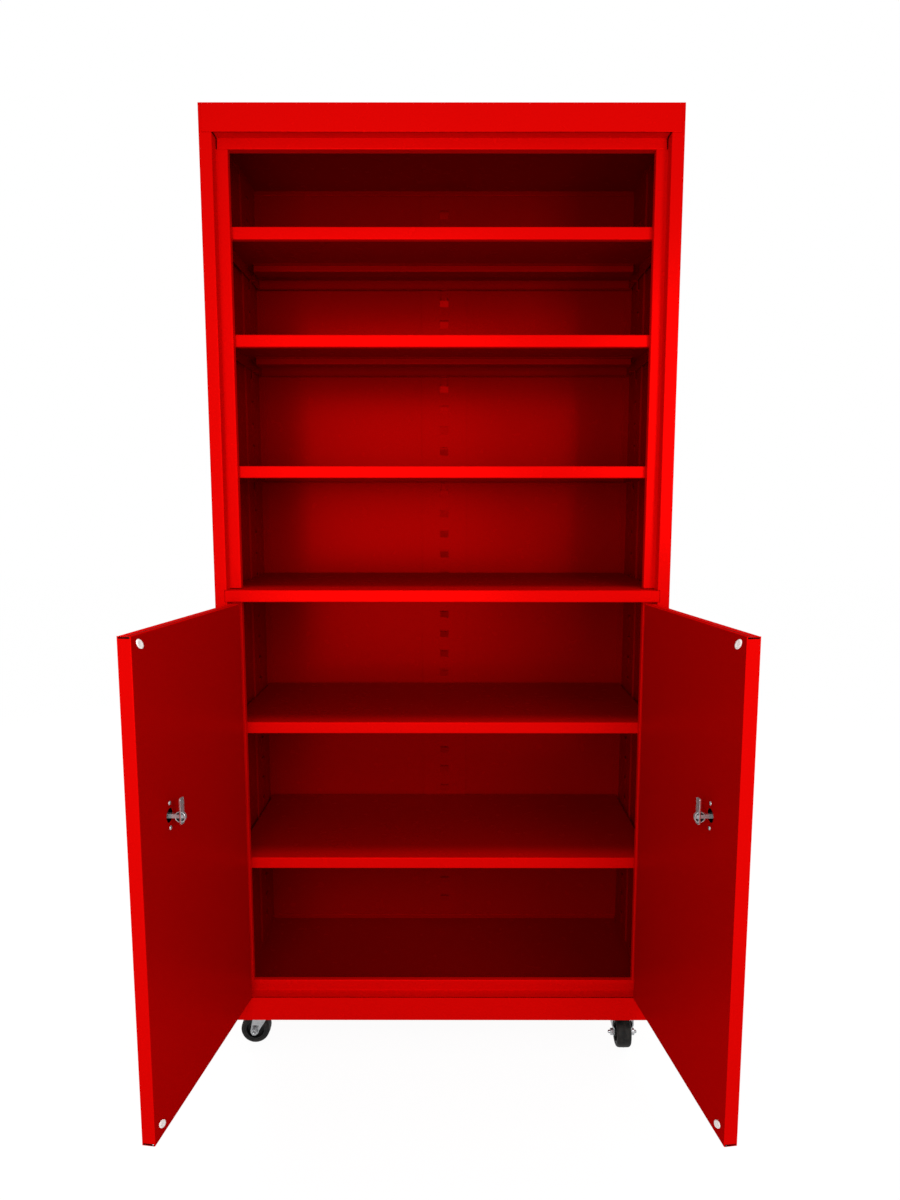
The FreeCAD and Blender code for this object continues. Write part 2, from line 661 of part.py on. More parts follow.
def stiffener(top):
    """A hat section under a shelf, as one solid."""
    start, width, flange = S["stiffener_front"], S["stiffener_width"], S["stiffener_flange"]
    half = (SHELF_X - S["stiffener_short"]).number
    under = (top - SHEET).number
    foot = start.number - flange.number
    deep = under - S["stiffener_depth"].number
    wall = SHEET.number
    low, high = start.number, start.number + width.number
    plan = [
        (foot, under), (foot, under - wall), (low, under - wall), (low, deep),
        (high, deep), (high, under - wall), (high + flange.number, under - wall),
        (high + flange.number, under), (high - wall, under), (high - wall, deep + wall),
        (low + wall, deep + wall), (low + wall, under),
    ]
    points = [FreeCAD.Vector(-half, y, z) for y, z in plan]
    face = Part.Face(Part.makePolygon(points + points[:1]))
    return face.extrude(FreeCAD.Vector(2.0 * half, 0, 0))


# Slotted posts, built with the wall behind them at Y = 0 and then turned to their walls

POSTS = {
    "center_back_post": (ZERO, BACK_FACE, 0.0),
    "left_front_post": (-WALL_FACE, S["front_post_middle"], 90.0),
    "left_rear_post": (-WALL_FACE, S["rear_post_middle"], 90.0),
    "right_front_post": (WALL_FACE, S["front_post_middle"], -90.0),
    "right_rear_post": (WALL_FACE, S["rear_post_middle"], -90.0),
}


def post_place(name):
    across, back, angle = POSTS[name]
    turn = FreeCAD.Rotation(FreeCAD.Vector(0, 0, 1), angle)
    spot = FreeCAD.Placement(FreeCAD.Vector(across.number, back.number, 0), turn)
    return CASE_PLACE.multiply(spot)


def slot_count():
    """How many slots fit between the ends of a post."""
    highest = HEIGHT - S["post_end"] - S["slot_height"] * 2.0
    return int((highest.number - S["first_slot"].number) // S["slot_pitch"].number) + 1


def slotted_post(name):
    """A shallow channel with a column of slots and a louver under each of them."""
    body = new_body(name)
    half = S["post_width"] / 2.0
    face = -S["post_depth"]
    corners = [
        (-half, ZERO), (-half, face), (half, face), (half, ZERO),
        (half - SHEET, ZERO), (half - SHEET, face + SHEET),
        (-half + SHEET, face + SHEET), (-half + SHEET, ZERO),
    ]
    section = outline(body, name + "_section", "XY_Plane", corners, S["post_end"])
    pad(body, name + "_channel", section, HEIGHT - S["post_end"] * 2.0)
    wide = S["slot_width"] / 2.0
    low = S["first_slot"]
    slot = rectangle(body, name + "_slot", "XZ_Plane", (-wide, low),
                     (wide, low + S["slot_height"]), face - SHEET)
    cut = pocket(body, name + "_slot_cut", slot, SHEET * 3.0)
    repeat(body, name + "_slots", cut, "Z_Axis", S["slot_pitch"], slot_count())
    root = face + SHEET / 2.0
    foot = low - S["louver_height"]
    wedge = [(root, low), (face - S["louver_depth"], low), (face, foot), (root, foot)]
    louver = outline(body, name + "_louver", "YZ_Plane", wedge, -wide)
    raised = pad(body, name + "_louver_fold", louver, S["slot_width"])
    repeat(body, name + "_louvers", raised, "Z_Axis", S["slot_pitch"], slot_count())
    keep(name, body, post_place(name))


def shelf_clip(post, top, slot_z):
    """A ledge under the shelf on a plate that hooks into a slot of the post."""
    seat = (top - S["shelf_lip"]).number
    thick = S["clip_plate"].number
    half = S["clip_width"].number / 2.0
    face = -S["post_depth"].number
    plate_back = face - (S["louver_depth"] + S["clip_clear"]).number
    plate_front = plate_back - thick
    tongue_top = slot_z + S["tongue_height"].number
    hook_front = face + (SHEET + S["clip_clear"]).number
    hook_back = hook_front + S["hook_thickness"].number
    ledge_front = face - (S["shelf_gap"] + S["clip_ledge"]).number
    plate = block((-half, plate_front, min(seat - thick, slot_z)),
                  (half, plate_back, max(seat, tongue_top)))
    ledge = block((-half, ledge_front, seat - thick), (half, plate_back, seat))
    tongue = block((-half, plate_front, slot_z), (half, hook_back, tongue_top))
    hook = block((-half, hook_front, slot_z - S["hook_drop"].number), (half, hook_back, tongue_top))
    whole = plate.fuse([ledge, tongue, hook]).removeSplitter()
    whole.Placement = post_place(post)
    return whole


def clip_slot(top):
    """The highest slot from which a clip reaches the underside of a shelf."""
    seat = (top - S["shelf_lip"] + S["clip_hang"]).number
    index = math.floor((seat - S["first_slot"].number) / S["slot_pitch"].number)
    return S["first_slot"].number + S["slot_pitch"].number * index


def shelf_clips():
    """Five clips under each movable shelf, one on every post."""
    clips = []
    for name in SHELVES:
        top = shelf_top(name)
        for post in POSTS:
            clips.append(shelf_clip(post, top, clip_slot(top)))
    group("shelf_clips", clips, FreeCAD.Placement())


# Doors, built closed with the hinge pin on the Z axis and then turned open

def door_place(side):
    turn = FreeCAD.Rotation(FreeCAD.Vector(0, 0, 1), side * DOOR_OPEN_DEG)
    pivot = FreeCAD.Vector(side * PIVOT_X.number, FRONT_Y + PIVOT_Y.number,
                           S["castor_height"].number)
    return FreeCAD.Placement(pivot, turn)


def door_edge_slit(body, name, across):
    """A slit at the top and the bottom of the free edge, where two flanges meet."""
    reach = SHEET * 3.0
    slit = S["door_corner_slit"]
    for label, low in (("low", DOOR_BOTTOM + SHEET), ("high", DOOR_TOP - SHEET - slit)):
        plan = rectangle(body, "%s_%s_slit" % (name, label), "XY_Plane",
                         (across(DOOR_END - reach), DOOR_FRONT + S["bend_radius"]),
                         (across(DOOR_END + SHEET), DOOR_BACK - S["bend_radius"]), low)
        pocket(body, "%s_%s_slit_cut" % (name, label), plan, slit)


def door_shell(name, side):
    """The outer skin of a door: a tray with a flange turned in round its back."""
    body = new_body(name)
    back = DOOR_FRONT + S["door_shell_depth"]
    end = DOOR_END - SHEET

    def across(size):
        return size * float(-side)

    def box(inset):
        return ((across(DOOR_START + inset), DOOR_BOTTOM + inset),
                (across(end - inset), DOOR_TOP - inset))
    plan = rectangle(body, name + "_plan", "XZ_Plane", *box(ZERO), DOOR_FRONT)
    pad(body, name + "_block", plan, S["door_shell_depth"])
    hollow = rectangle(body, name + "_hollow", "XZ_Plane", *box(SHEET), DOOR_FRONT + SHEET)
    pocket(body, name + "_inside", hollow, S["door_shell_depth"] - SHEET * 2.0)
    mouth = rectangle(body, name + "_mouth", "XZ_Plane", *box(SHEET + S["door_return"]),
                      back - SHEET * 2.0)
    pocket(body, name + "_opening", mouth, SHEET * 3.0)
    bore = rings(body, name + "_bore", "XZ_Plane", [(across(S["latch_reach"]), S["latch_height"])],
                 S["sleeve_radius"], DOOR_FRONT - SHEET)
    pocket(body, name + "_bore_cut", bore, SHEET * 3.0)
    door_edge_slit(body, name, across)
    keep(name, body, door_place(side))


def rivet_heights():
    half = S["rivet_spacing"] / 2.0
    return (S["latch_height"] - half, S["latch_height"] + half)


def door_inner_panel(name, side):
    """The inner skin: a shallow tray whose free edge wraps the whole edge of the door."""
    body = new_body(name)
    start = DOOR_FRONT + S["door_shell_depth"] + S["door_seam"]

    def across(size):
        return size * float(-side)

    def box(inset):
        return ((across(DOOR_START + inset), DOOR_BOTTOM + inset),
                (across(DOOR_END - inset), DOOR_TOP - inset))
    plan = rectangle(body, name + "_plan", "XZ_Plane", *box(ZERO), DOOR_FRONT)
    pad(body, name + "_block", plan, S["door_thickness"])
    hollow = rectangle(body, name + "_hollow", "XZ_Plane", *box(SHEET), DOOR_FRONT - SHEET)
    pocket(body, name + "_inside", hollow, S["door_thickness"])
    room = rectangle(body, name + "_shell_room", "XZ_Plane",
                     (across(-DOOR_START), DOOR_BOTTOM - SHEET),
                     (across(DOOR_END - SHEET), DOOR_TOP + SHEET), DOOR_FRONT - SHEET)
    pocket(body, name + "_shell_room_cut", room, start - DOOR_FRONT + SHEET)
    reach = across(S["latch_reach"])
    window = rings(body, name + "_window", "XZ_Plane", [(reach, S["latch_height"])],
                   S["latch_hole_radius"], DOOR_BACK - SHEET * 2.0)
    pocket(body, name + "_window_cut", window, SHEET * 3.0)
    holes = rings(body, name + "_rivet_holes", "XZ_Plane",
                  [(reach, height) for height in rivet_heights()],
                  S["rivet_radius"] + S["running_fit"], DOOR_BACK - SHEET * 2.0)
    pocket(body, name + "_rivet_holes_cut", holes, SHEET * 3.0)
    door_edge_slit(body, name, across)
    keep(name, body, door_place(side))


def button(place, height, radius, sides):
    """A small button that stands out along Y, with a sloping rim."""
    whole = prism(place, (0, 1, 0), height, radius, sides)
    rim = [edge for edge in whole.Edges
           if all(abs(vertex.Y - place[1] - height) < 1e-6 for vertex in edge.Vertexes)]
    return whole.makeChamfer(height * 0.45, rim)


def door_bumpers(name, side):
    """Two soft buttons near the free edge, high and low."""
    bumpers = []
    across = -side * (DOOR_END - S["bumper_side"]).number
    for height in (DOOR_BOTTOM + S["bumper_bottom"], DOOR_TOP - S["bumper_top"]):
        place = (across, DOOR_BACK.number, height.number)
        bumpers.append(button(place, S["bumper_height"].number, S["bumper_radius"].number, 16))
    group(name, bumpers, door_place(side))


def latch_rivets(name, side):
    rivets = []
    through = SHEET.number * 2.0
    for height in rivet_heights():
        place = (-side * S["latch_reach"].number, DOOR_BACK.number, height.number)
        behind = (place[0], place[1] - through, place[2])
        shank = prism(behind, (0, 1, 0), through, S["rivet_radius"].number, 10)
        head = button(place, S["rivet_head_height"].number, S["rivet_head_radius"].number, 10)
        rivets.append(shank.fuse(head).removeSplitter())
    group(name, rivets, door_place(side))


# Hinges

def hinge_bottoms():
    """Lower end of each hinge of a door."""
    low = (DOOR_BOTTOM + S["hinge_end"]).number
    high = (DOOR_TOP - S["hinge_end"] - S["hinge_height"]).number
    steps = HINGES_PER_DOOR - 1
    return [low + (high - low) * index / steps for index in range(HINGES_PER_DOOR)]


def hinge_leaf(bottom, across, plate_start, plate_end, even):
    """A leaf with every second knuckle: the even ones are on the case and the odd on the door."""
    height = S["hinge_height"].number
    pitch = height / KNUCKLES_PER_HINGE
    gap = S["knuckle_gap"].number / 2.0
    radius = S["knuckle_radius"].number
    clear = radius + S["knuckle_gap"].number
    leaf_end = clear + S["hinge_leaf_width"].number
    leaf = block((across * plate_start, clear, bottom), (across * plate_end, leaf_end, bottom + height))
    for index in range(KNUCKLES_PER_HINGE):
        if (index % 2 == 0) == even:
            low = bottom + pitch * index + gap
            tall = pitch - gap * 2.0
            knuckle = prism((0, 0, low), (0, 0, 1), tall, radius, 10)
            tab = block((across * plate_start, 0, low), (across * plate_end, clear, low + tall))
            leaf = leaf.fuse(knuckle).fuse(tab)
    bore_radius = (S["hinge_pin_radius"].number + S["running_fit"].number) / math.cos(math.pi / 10)
    bore = prism((0, 0, bottom - 1.0), (0, 0, 1), height + 2.0, bore_radius, 10)
    return leaf.cut(bore).removeSplitter()


def hinges(label, side):
    """Leaves on the case, leaves on the door and the pins between them."""
    leaf = S["hinge_leaf"].number
    reach = S["door_side_gap"].number / 2.0
    still = CASE_PLACE.multiply(FreeCAD.Placement(
        FreeCAD.Vector(side * PIVOT_X.number, PIVOT_Y.number, 0), FreeCAD.Rotation()))
    frame_leaves = []
    door_leaves = []
    for bottom in hinge_bottoms():
        frame_leaves.append(hinge_leaf(bottom, side, reach - leaf, reach, True))
        door_leaves.append(hinge_leaf(bottom, -side, reach - leaf, reach, False))
    group(label + "_hinge_frame_leaves", frame_leaves, still)
    group(label + "_hinge_door_leaves", door_leaves, door_place(side))


def hinge_pins():
    pins = []
    overhang = 1.5
    for side in SIDES.values():
        for bottom in hinge_bottoms():
            start = (side * PIVOT_X.number, PIVOT_Y.number, bottom - overhang)
            length = S["hinge_height"].number + 2.0 * overhang
            pins.append(rod(start, (0, 0, 1), length, S["hinge_pin_radius"].number))
    group("hinge_pins", pins, CASE_PLACE)


# Latches, built round the Y axis with the outer face of the door at Y = 0

def latch_place(side):
    shift = FreeCAD.Vector(-side * S["latch_reach"].number, DOOR_FRONT.number,
                           S["latch_height"].number)
    return door_place(side).multiply(FreeCAD.Placement(shift, FreeCAD.Rotation()))


def latch_rose(name, side):
    """The round rose on the door with the sleeve that carries the spindle."""
    body = new_body(name)
    bore = S["spindle_radius"] + S["running_fit"]
    section = [
        (bore, -S["rose_height"]), (S["rose_face_radius"], -S["rose_height"]),
        (S["rose_face_radius"], -S["rose_rim"]), (S["rose_radius"], -S["rose_rim"]),
        (S["rose_radius"], ZERO),
        (S["sleeve_radius"], ZERO), (S["sleeve_radius"], S["sleeve_length"]),
        (bore, S["sleeve_length"]),
    ]
    profile = outline(body, name + "_section", "XY_Plane", section)
    spin(body, name + "_turned", profile, "Y_Axis")
    keep(name, body, latch_place(side))


def latch_handle(name, side):
    """A lever that hangs down, with the spindle that turns in the rose."""
    body = new_body(name)
    outer = -(S["rose_height"] + S["lever_stand"])
    journal_end = S["sleeve_length"]
    journal = rings(body, name + "_journal", "XZ_Plane", [(ZERO, ZERO)], S["spindle_radius"], outer)
    pad(body, name + "_journal_rod", journal, journal_end - outer)
    half = S["spindle_square"] / 2.0
    square = rectangle(body, name + "_square", "XZ_Plane", (-half, -half), (half, half), journal_end)
    pad(body, name + "_square_rod", square,
        S["door_thickness"] + S["spindle_end"] - journal_end)
    front = outer - S["lever_height"]
    boss = rings(body, name + "_boss", "XZ_Plane", [(ZERO, ZERO)], S["lever_width"] * 0.56, front)
    pad(body, name + "_boss_disc", boss, S["lever_height"] + S["lever_stand"] * 0.5)
    wide = S["lever_width"] / 2.0
    slim = S["lever_width"] * 0.38
    cut = S["lever_width"] * 0.2
    end = S["lever_length"]
    arm = [
        (-wide, ZERO), (-slim, -(end - cut)), (-slim + cut, -end), (slim - cut, -end),
        (slim, -(end - cut)), (wide, ZERO),
    ]
    lever = outline(body, name + "_lever", "XZ_Plane", arm, front)
    pad(body, name + "_lever_arm", lever, S["lever_height"])
    keep(name, body, latch_place(side))


def latch_cam(name, side):
    """The blade on the square of the spindle, pointing up, with a round eye."""
    body = new_body(name)
    start = S["door_thickness"] + S["cam_seat"]
    wide = S["cam_width"] / 2.0
    eye = rings(body, name + "_eye", "XZ_Plane", [(ZERO, ZERO)], S["clamp_radius"], start)
    pad(body, name + "_eye_disc", eye, S["cam_thickness"])
    cut = S["cam_width"] * 0.25
    tip = S["cam_reach"]
    corners = [(-wide, ZERO), (wide, ZERO), (wide, tip - cut), (wide - cut, tip),
               (-wide + cut, tip), (-wide, tip - cut)]
    blade = outline(body, name + "_blade", "XZ_Plane", corners, start)
    pad(body, name + "_blade_bar", blade, S["cam_thickness"])
    half = S["spindle_square"] / 2.0
    hole = rectangle(body, name + "_hole", "XZ_Plane", (-half, -half), (half, half), start - SHEET)
    pocket(body, name + "_hole_cut", hole, S["cam_thickness"] + SHEET * 2.0)
    keep(name, body, latch_place(side))


def latch_clamp(name, side):
    """The strap that holds the cam on the spindle, bent round it between cam and door."""
    body = new_body(name)
    start = S["door_thickness"] + S["cam_seat"] - S["clamp_length"]
    half = S["spindle_square"] / 2.0
    wide = S["clamp_radius"]
    cut = wide * 0.35
    strap = [(-wide + cut, -wide), (wide - cut, -wide), (wide, -wide + cut), (wide, wide),
             (-wide, wide), (-wide, -wide + cut)]
    form = outline(body, name + "_form", "XZ_Plane", strap, start)
    pad(body, name + "_strap", form, S["clamp_length"])
    hole = rectangle(body, name + "_hole", "XZ_Plane", (-half, -half), (half, half), start - SHEET)
    pocket(body, name + "_hole_cut", hole, S["clamp_length"] + SHEET * 2.0)
    slot = rectangle(body, name + "_slot", "XZ_Plane", (-half, half * 0.5), (half, wide + SHEET),
                     start - SHEET)
    pocket(body, name + "_slot_cut", slot, S["clamp_length"] + SHEET * 2.0)
    keep(name, body, latch_place(side))


# Castors, built with the king pin on the Z axis and the wheel towards the front

def castor_place(label):
    pin_x, pin_y = castor_places()[label]
    turn = FreeCAD.Rotation(FreeCAD.Vector(0, 0, 1), CASTOR_TURNS_DEG[label])
    return FreeCAD.Placement(FreeCAD.Vector(pin_x.number, FRONT_Y + pin_y.number, 0), turn)


def wheel_place(label):
    shift = FreeCAD.Vector(0, -S["trail"].number, S["wheel_radius"].number)
    return castor_place(label).multiply(FreeCAD.Placement(shift, FreeCAD.Rotation()))


RACE_TOP = S["castor_height"] - S["plate_thickness"]
FORK_TOP = RACE_TOP - S["race_height"] - S["swivel_gap"]
CROWN_BOTTOM = FORK_TOP - S["fork_crown"]
FORK_INSIDE = S["wheel_width"] / 2.0 + S["wheel_side_gap"]
FORK_OUTSIDE = FORK_INSIDE + S["fork_leg"]


def castor_plates():
    """Each plate carries its ball race and its king pin, headed under the fork."""
    plates = []
    top = S["castor_height"].number
    half_x = S["plate_width"].number / 2.0
    half_y = S["plate_length"].number / 2.0
    hole_x = S["plate_holes_wide"].number / 2.0
    hole_y = S["plate_holes_long"].number / 2.0
    hole_radius = S["stud_radius"].number + S["stud_play"].number
    head_top = CROWN_BOTTOM.number - S["swivel_gap"].number
    head_bottom = head_top - S["king_pin_head"].number
    for label in CASTOR_TURNS_DEG:
        pin_x, pin_y = castor_places()[label]
        plate = block((-half_x, -half_y, RACE_TOP), (half_x, half_y, top))
        corners = [edge for edge in plate.Edges
                   if abs(edge.Vertexes[0].Z - edge.Vertexes[1].Z) > 1e-6]
        plate = plate.makeChamfer(hole_radius, corners)
        for x in (-hole_x, hole_x):
            for y in (-hole_y, hole_y):
                plate = plate.cut(prism((x, y, 0), (0, 0, 1), top * 2.0, hole_radius, 8))
        race = prism((0, 0, (RACE_TOP - S["race_height"]).number), (0, 0, 1),
                     S["race_height"].number, S["race_radius"].number, 24)
        pin = rod((0, 0, head_bottom), (0, 0, 1), RACE_TOP.number - head_bottom,
                  S["king_pin_radius"].number)
        head = prism((0, 0, head_bottom), (0, 0, 1), S["king_pin_head"].number,
                     S["king_pin_head_radius"].number, 12)
        whole = plate.fuse(race).fuse(pin).fuse(head).removeSplitter()
        whole.translate(FreeCAD.Vector(pin_x.number, FRONT_Y + pin_y.number, 0))
        plates.append(whole)
    group("castor_plates", plates, FreeCAD.Placement())


def castor_studs():
    """Studs welded under the bottom panel, each with a nut under its castor plate."""
    studs = []
    below = -S["plate_thickness"].number
    nut = S["stud_nut_height"].number
    end = S["stud_end"].number
    for x, y in stud_places():
        shank = prism((x, y, below - nut - end), (0, 0, 1), end + nut - below,
                      S["stud_radius"].number, 8)
        ring = prism((x, y, below - nut), (0, 0, 1), nut, S["stud_nut"].number, 6)
        studs.append(shank.fuse(ring).removeSplitter())
    group("castor_studs", studs, CASE_PLACE)


def castor_fork(label):
    """Two tapered legs under a round crown, with a bore for the king pin."""
    name = label + "_fork"
    body = new_body(name)
    crown = rings(body, name + "_crown", "XY_Plane", [(ZERO, ZERO)], S["fork_crown_radius"],
                  CROWN_BOTTOM)
    pad(body, name + "_crown_disc", crown, S["fork_crown"])
    end = S["fork_end_radius"]
    axle_y, axle_z = -S["trail"], S["wheel_radius"]
    profile = [
        (S["fork_top_back"], FORK_TOP), (-S["fork_top_front"], FORK_TOP),
        (axle_y - end, axle_z + end * 0.4), (axle_y - end, axle_z - end * 0.4),
        (axle_y - end * 0.4, axle_z - end), (axle_y + end * 0.4, axle_z - end),
        (axle_y + end, axle_z - end * 0.4), (axle_y + end, axle_z),
    ]
    legs = outline(body, name + "_legs", "YZ_Plane", profile, -FORK_OUTSIDE)
    pad(body, name + "_legs_block", legs, FORK_OUTSIDE * 2.0)
    room = S["wheel_radius"] * 2.0
    gap = rectangle(body, name + "_gap", "XY_Plane", (-FORK_INSIDE, -room), (FORK_INSIDE, room))
    pocket(body, name + "_wheel_gap", gap, CROWN_BOTTOM)
    bore = rings(body, name + "_bore", "XY_Plane", [(ZERO, ZERO)],
                 S["king_pin_radius"] + S["running_fit"], CROWN_BOTTOM - SHEET)
    pocket(body, name + "_bore_cut", bore, S["fork_crown"] + SHEET * 2.0)
    holes = rings(body, name + "_axle_holes", "YZ_Plane", [(axle_y, axle_z)],
                  S["axle_radius"] + S["running_fit"], -FORK_OUTSIDE - SHEET)
    pocket(body, name + "_axle_holes_cut", holes, FORK_OUTSIDE * 2.0 + SHEET * 2.0)
    keep(name, body, castor_place(label))


def castor_tyre(label):
    name = label + "_tyre"
    body = new_body(name)
    half, corner = S["wheel_width"] / 2.0, S["tyre_corner"]
    radius = S["wheel_radius"]
    inside = radius - S["tyre_depth"]
    section = [
        (-half, inside), (half, inside), (half, radius - corner), (half - corner, radius),
        (-half + corner, radius), (-half, radius - corner),
    ]
    profile = outline(body, name + "_section", "XY_Plane", section)
    spin(body, name + "_turned", profile, "X_Axis")
    keep(name, body, wheel_place(label))


def castor_hub(label):
    """The plastic centre of a wheel: boss, web and rim."""
    name = label + "_hub"
    body = new_body(name)
    bore = S["axle_radius"] + S["running_fit"]
    outside = S["wheel_radius"] - S["tyre_depth"]
    rim = outside - S["hub_rim"]
    boss = S["hub_boss_radius"]
    long = FORK_INSIDE - S["wheel_side_gap"] * 0.5
    wide = S["wheel_width"] / 2.0 - S["hub_rim"] * 0.3
    web = S["hub_web"] / 2.0
    section = [
        (-long, bore), (long, bore), (long, boss), (web, boss), (web, rim), (wide, rim),
        (wide, outside), (-wide, outside), (-wide, rim), (-web, rim), (-web, boss), (-long, boss),
    ]
    profile = outline(body, name + "_section", "XY_Plane", section)
    spin(body, name + "_turned", profile, "X_Axis")
    keep(name, body, wheel_place(label))


def castor_axle(label):
    """A bolt through both legs with a nut outside each of them."""
    outside = FORK_OUTSIDE.number
    nut = S["axle_hex_height"].number
    end = outside + nut + S["axle_end"].number
    shank = rod((-outside, 0, 0), (1, 0, 0), 2.0 * outside, S["axle_radius"].number)
    ends = prism((-end, 0, 0), (1, 0, 0), 2.0 * end, S["axle_radius"].number, 10)
    left = prism((-outside - nut, 0, 0), (1, 0, 0), nut, S["axle_hex"].number, 6)
    right = prism((outside, 0, 0), (1, 0, 0), nut, S["axle_hex"].number, 6)
    whole = shank.fuse([ends, left, right]).removeSplitter()
    group(label + "_axle", [whole], wheel_place(label))


# Build every piece

for label, side in SIDES.items():
    side_panel(label + "_side_panel", side)
header_rail()
sill_rail()
back_panel()
top_panel()
bottom_panel()
mid_shelf()
for post_name in POSTS:
    slotted_post(post_name)
for shelf_name in SHELVES:
    movable_shelf(shelf_name)
for level in ("upper", "lower"):
    bars = [stiffener(shelf_top(shelf_name)) for shelf_name in SHELVES
            if shelf_name.startswith(level)]
    group(level + "_shelf_stiffeners", bars, CASE_PLACE)
shelf_clips()
for label, side in SIDES.items():
    door_shell(label + "_door_shell", side)
    door_inner_panel(label + "_door_inner_panel", side)
    door_bumpers(label + "_door_bumpers", side)
    latch_rivets(label + "_latch_rivets", side)
    hinges(label, side)
    latch_rose(label + "_latch_rose", side)
    latch_handle(label + "_latch_handle", side)
    latch_cam(label + "_latch_cam", side)
    latch_clamp(label + "_latch_clamp", side)
hinge_pins()
castor_plates()
castor_studs()
for label in CASTOR_TURNS_DEG:
    castor_fork(label)
    castor_tyre(label)
    castor_hub(label)
    castor_axle(label)

doc.recompute()

# Refuse to write anything if a feature failed
for item in doc.Objects:
    if "Invalid" in item.State or "Error" in item.State:
        raise RuntimeError("%s did not compute: %s" % (item.Label, item.State))
for name, item in parts:
    if item.Shape.isNull() or not item.Shape.isValid():
        raise RuntimeError("%s has no valid shape" % name)

os.makedirs("parts", exist_ok=True)
for name, item in parts:
    item.Shape.exportStep(os.path.join("parts", name + ".step"))
print("%d sub-parts written, front of the case at Y = %.2f" % (len(parts), FRONT_Y))
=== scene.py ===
# %% [markdown]
# # A red steel cabinet on castors
# This lesson dresses a cabinet whose solids come from a CAD program. Each step says what the piece
# or the finish is on the real cabinet, how it could be made in Blender, and why this way was taken.
# All lengths are in metres, so a small helper turns the millimetres of a workshop drawing into them.

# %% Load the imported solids
import json
import math

import bmesh
import bpy
from mathutils import Matrix, Vector


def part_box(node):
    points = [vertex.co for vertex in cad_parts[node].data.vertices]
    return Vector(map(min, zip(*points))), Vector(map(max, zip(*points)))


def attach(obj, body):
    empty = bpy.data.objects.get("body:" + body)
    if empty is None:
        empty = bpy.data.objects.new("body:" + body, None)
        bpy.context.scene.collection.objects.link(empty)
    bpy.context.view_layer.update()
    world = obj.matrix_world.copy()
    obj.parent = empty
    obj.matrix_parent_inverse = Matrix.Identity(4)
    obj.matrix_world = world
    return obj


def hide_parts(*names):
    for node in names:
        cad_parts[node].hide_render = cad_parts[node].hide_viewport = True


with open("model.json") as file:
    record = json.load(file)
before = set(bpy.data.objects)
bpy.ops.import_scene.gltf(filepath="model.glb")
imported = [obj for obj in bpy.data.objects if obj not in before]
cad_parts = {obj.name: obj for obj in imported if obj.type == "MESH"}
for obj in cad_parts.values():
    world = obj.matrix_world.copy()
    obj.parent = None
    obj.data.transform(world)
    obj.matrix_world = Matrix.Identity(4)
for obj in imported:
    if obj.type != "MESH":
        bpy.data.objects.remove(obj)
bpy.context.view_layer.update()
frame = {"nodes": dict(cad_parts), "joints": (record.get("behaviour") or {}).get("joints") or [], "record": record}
MM = 0.001


# %% [markdown]
# ## Finishes
# Paint, zinc and rubber all vary a little over a surface. An image could carry that, but it would
# need unwrapping and would blur up close. Noise on Object coordinates works on any shape, so each
# effect is a node group with named sockets, and every material sets its own values on it.

# %% A helper that starts a shader node group
def start_group(name, inputs, outputs):
    """Make an empty group and return it with its input and output nodes."""
    group = bpy.data.node_groups.new(name, "ShaderNodeTree")
    for label, kind, value in inputs:
        socket = group.interface.new_socket(label, in_out="INPUT", socket_type=kind)
        socket.default_value = value
    for label, kind in outputs:
        group.interface.new_socket(label, in_out="OUTPUT", socket_type=kind)
    return group, group.nodes.new("NodeGroupInput"), group.nodes.new("NodeGroupOutput")


FLOAT = "NodeSocketFloat"
COLOUR = "NodeSocketColor"


def math_node(tree, operation, first, second, third=None):
    """Add a Math node; each term is a number or an output socket."""
    node = tree.nodes.new("ShaderNodeMath")
    node.operation = operation
    for index, term in enumerate((first, second, third)):
        if term is None:
            continue
        if isinstance(term, (int, float)):
            node.inputs[index].default_value = term
        else:
            tree.links.new(term, node.inputs[index])
    return node.outputs[0]


def noise_node(tree, vector, scale, detail=2.0):
    """Add a Noise Texture node; the scale is a number or an output socket."""
    node = tree.nodes.new("ShaderNodeTexNoise")
    node.inputs["Detail"].default_value = detail
    tree.links.new(vector, node.inputs["Vector"])
    if isinstance(scale, (int, float)):
        node.inputs["Scale"].default_value = scale
    else:
        tree.links.new(scale, node.inputs["Scale"])
    return node.outputs["Fac"]


def tinted(tree, colour, strength):
    """Scale a colour by a number that varies over the surface."""
    node = tree.nodes.new("ShaderNodeVectorMath")
    node.operation = "SCALE"
    tree.links.new(colour, node.inputs[0])
    tree.links.new(strength, node.inputs["Scale"])
    return node.outputs[0]


# %% [markdown]
# ### Sprayed and baked enamel
# Baked enamel has a faint orange peel, about one bump to the millimetre, and its film is never
# quite even. Fine noise makes the peel, and slow noise shifts the colour and the gloss a little.
# Inside the case the colour is darkened as painted shade. The group finds the inside from Object
# coordinates: behind the front edges of the shelves, and closer to the middle than the outer faces
# of the sheets.

# %% The inside of the case as a mask for painted shade
INSIDE_START, INSIDE_DEEP, INSIDE_END = 36 * MM, 110 * MM, 444.1 * MM
INSIDE_HALF = 456.6 * MM
INSIDE_FLOOR, INSIDE_CEILING = 83.2 * MM, 1926.0 * MM


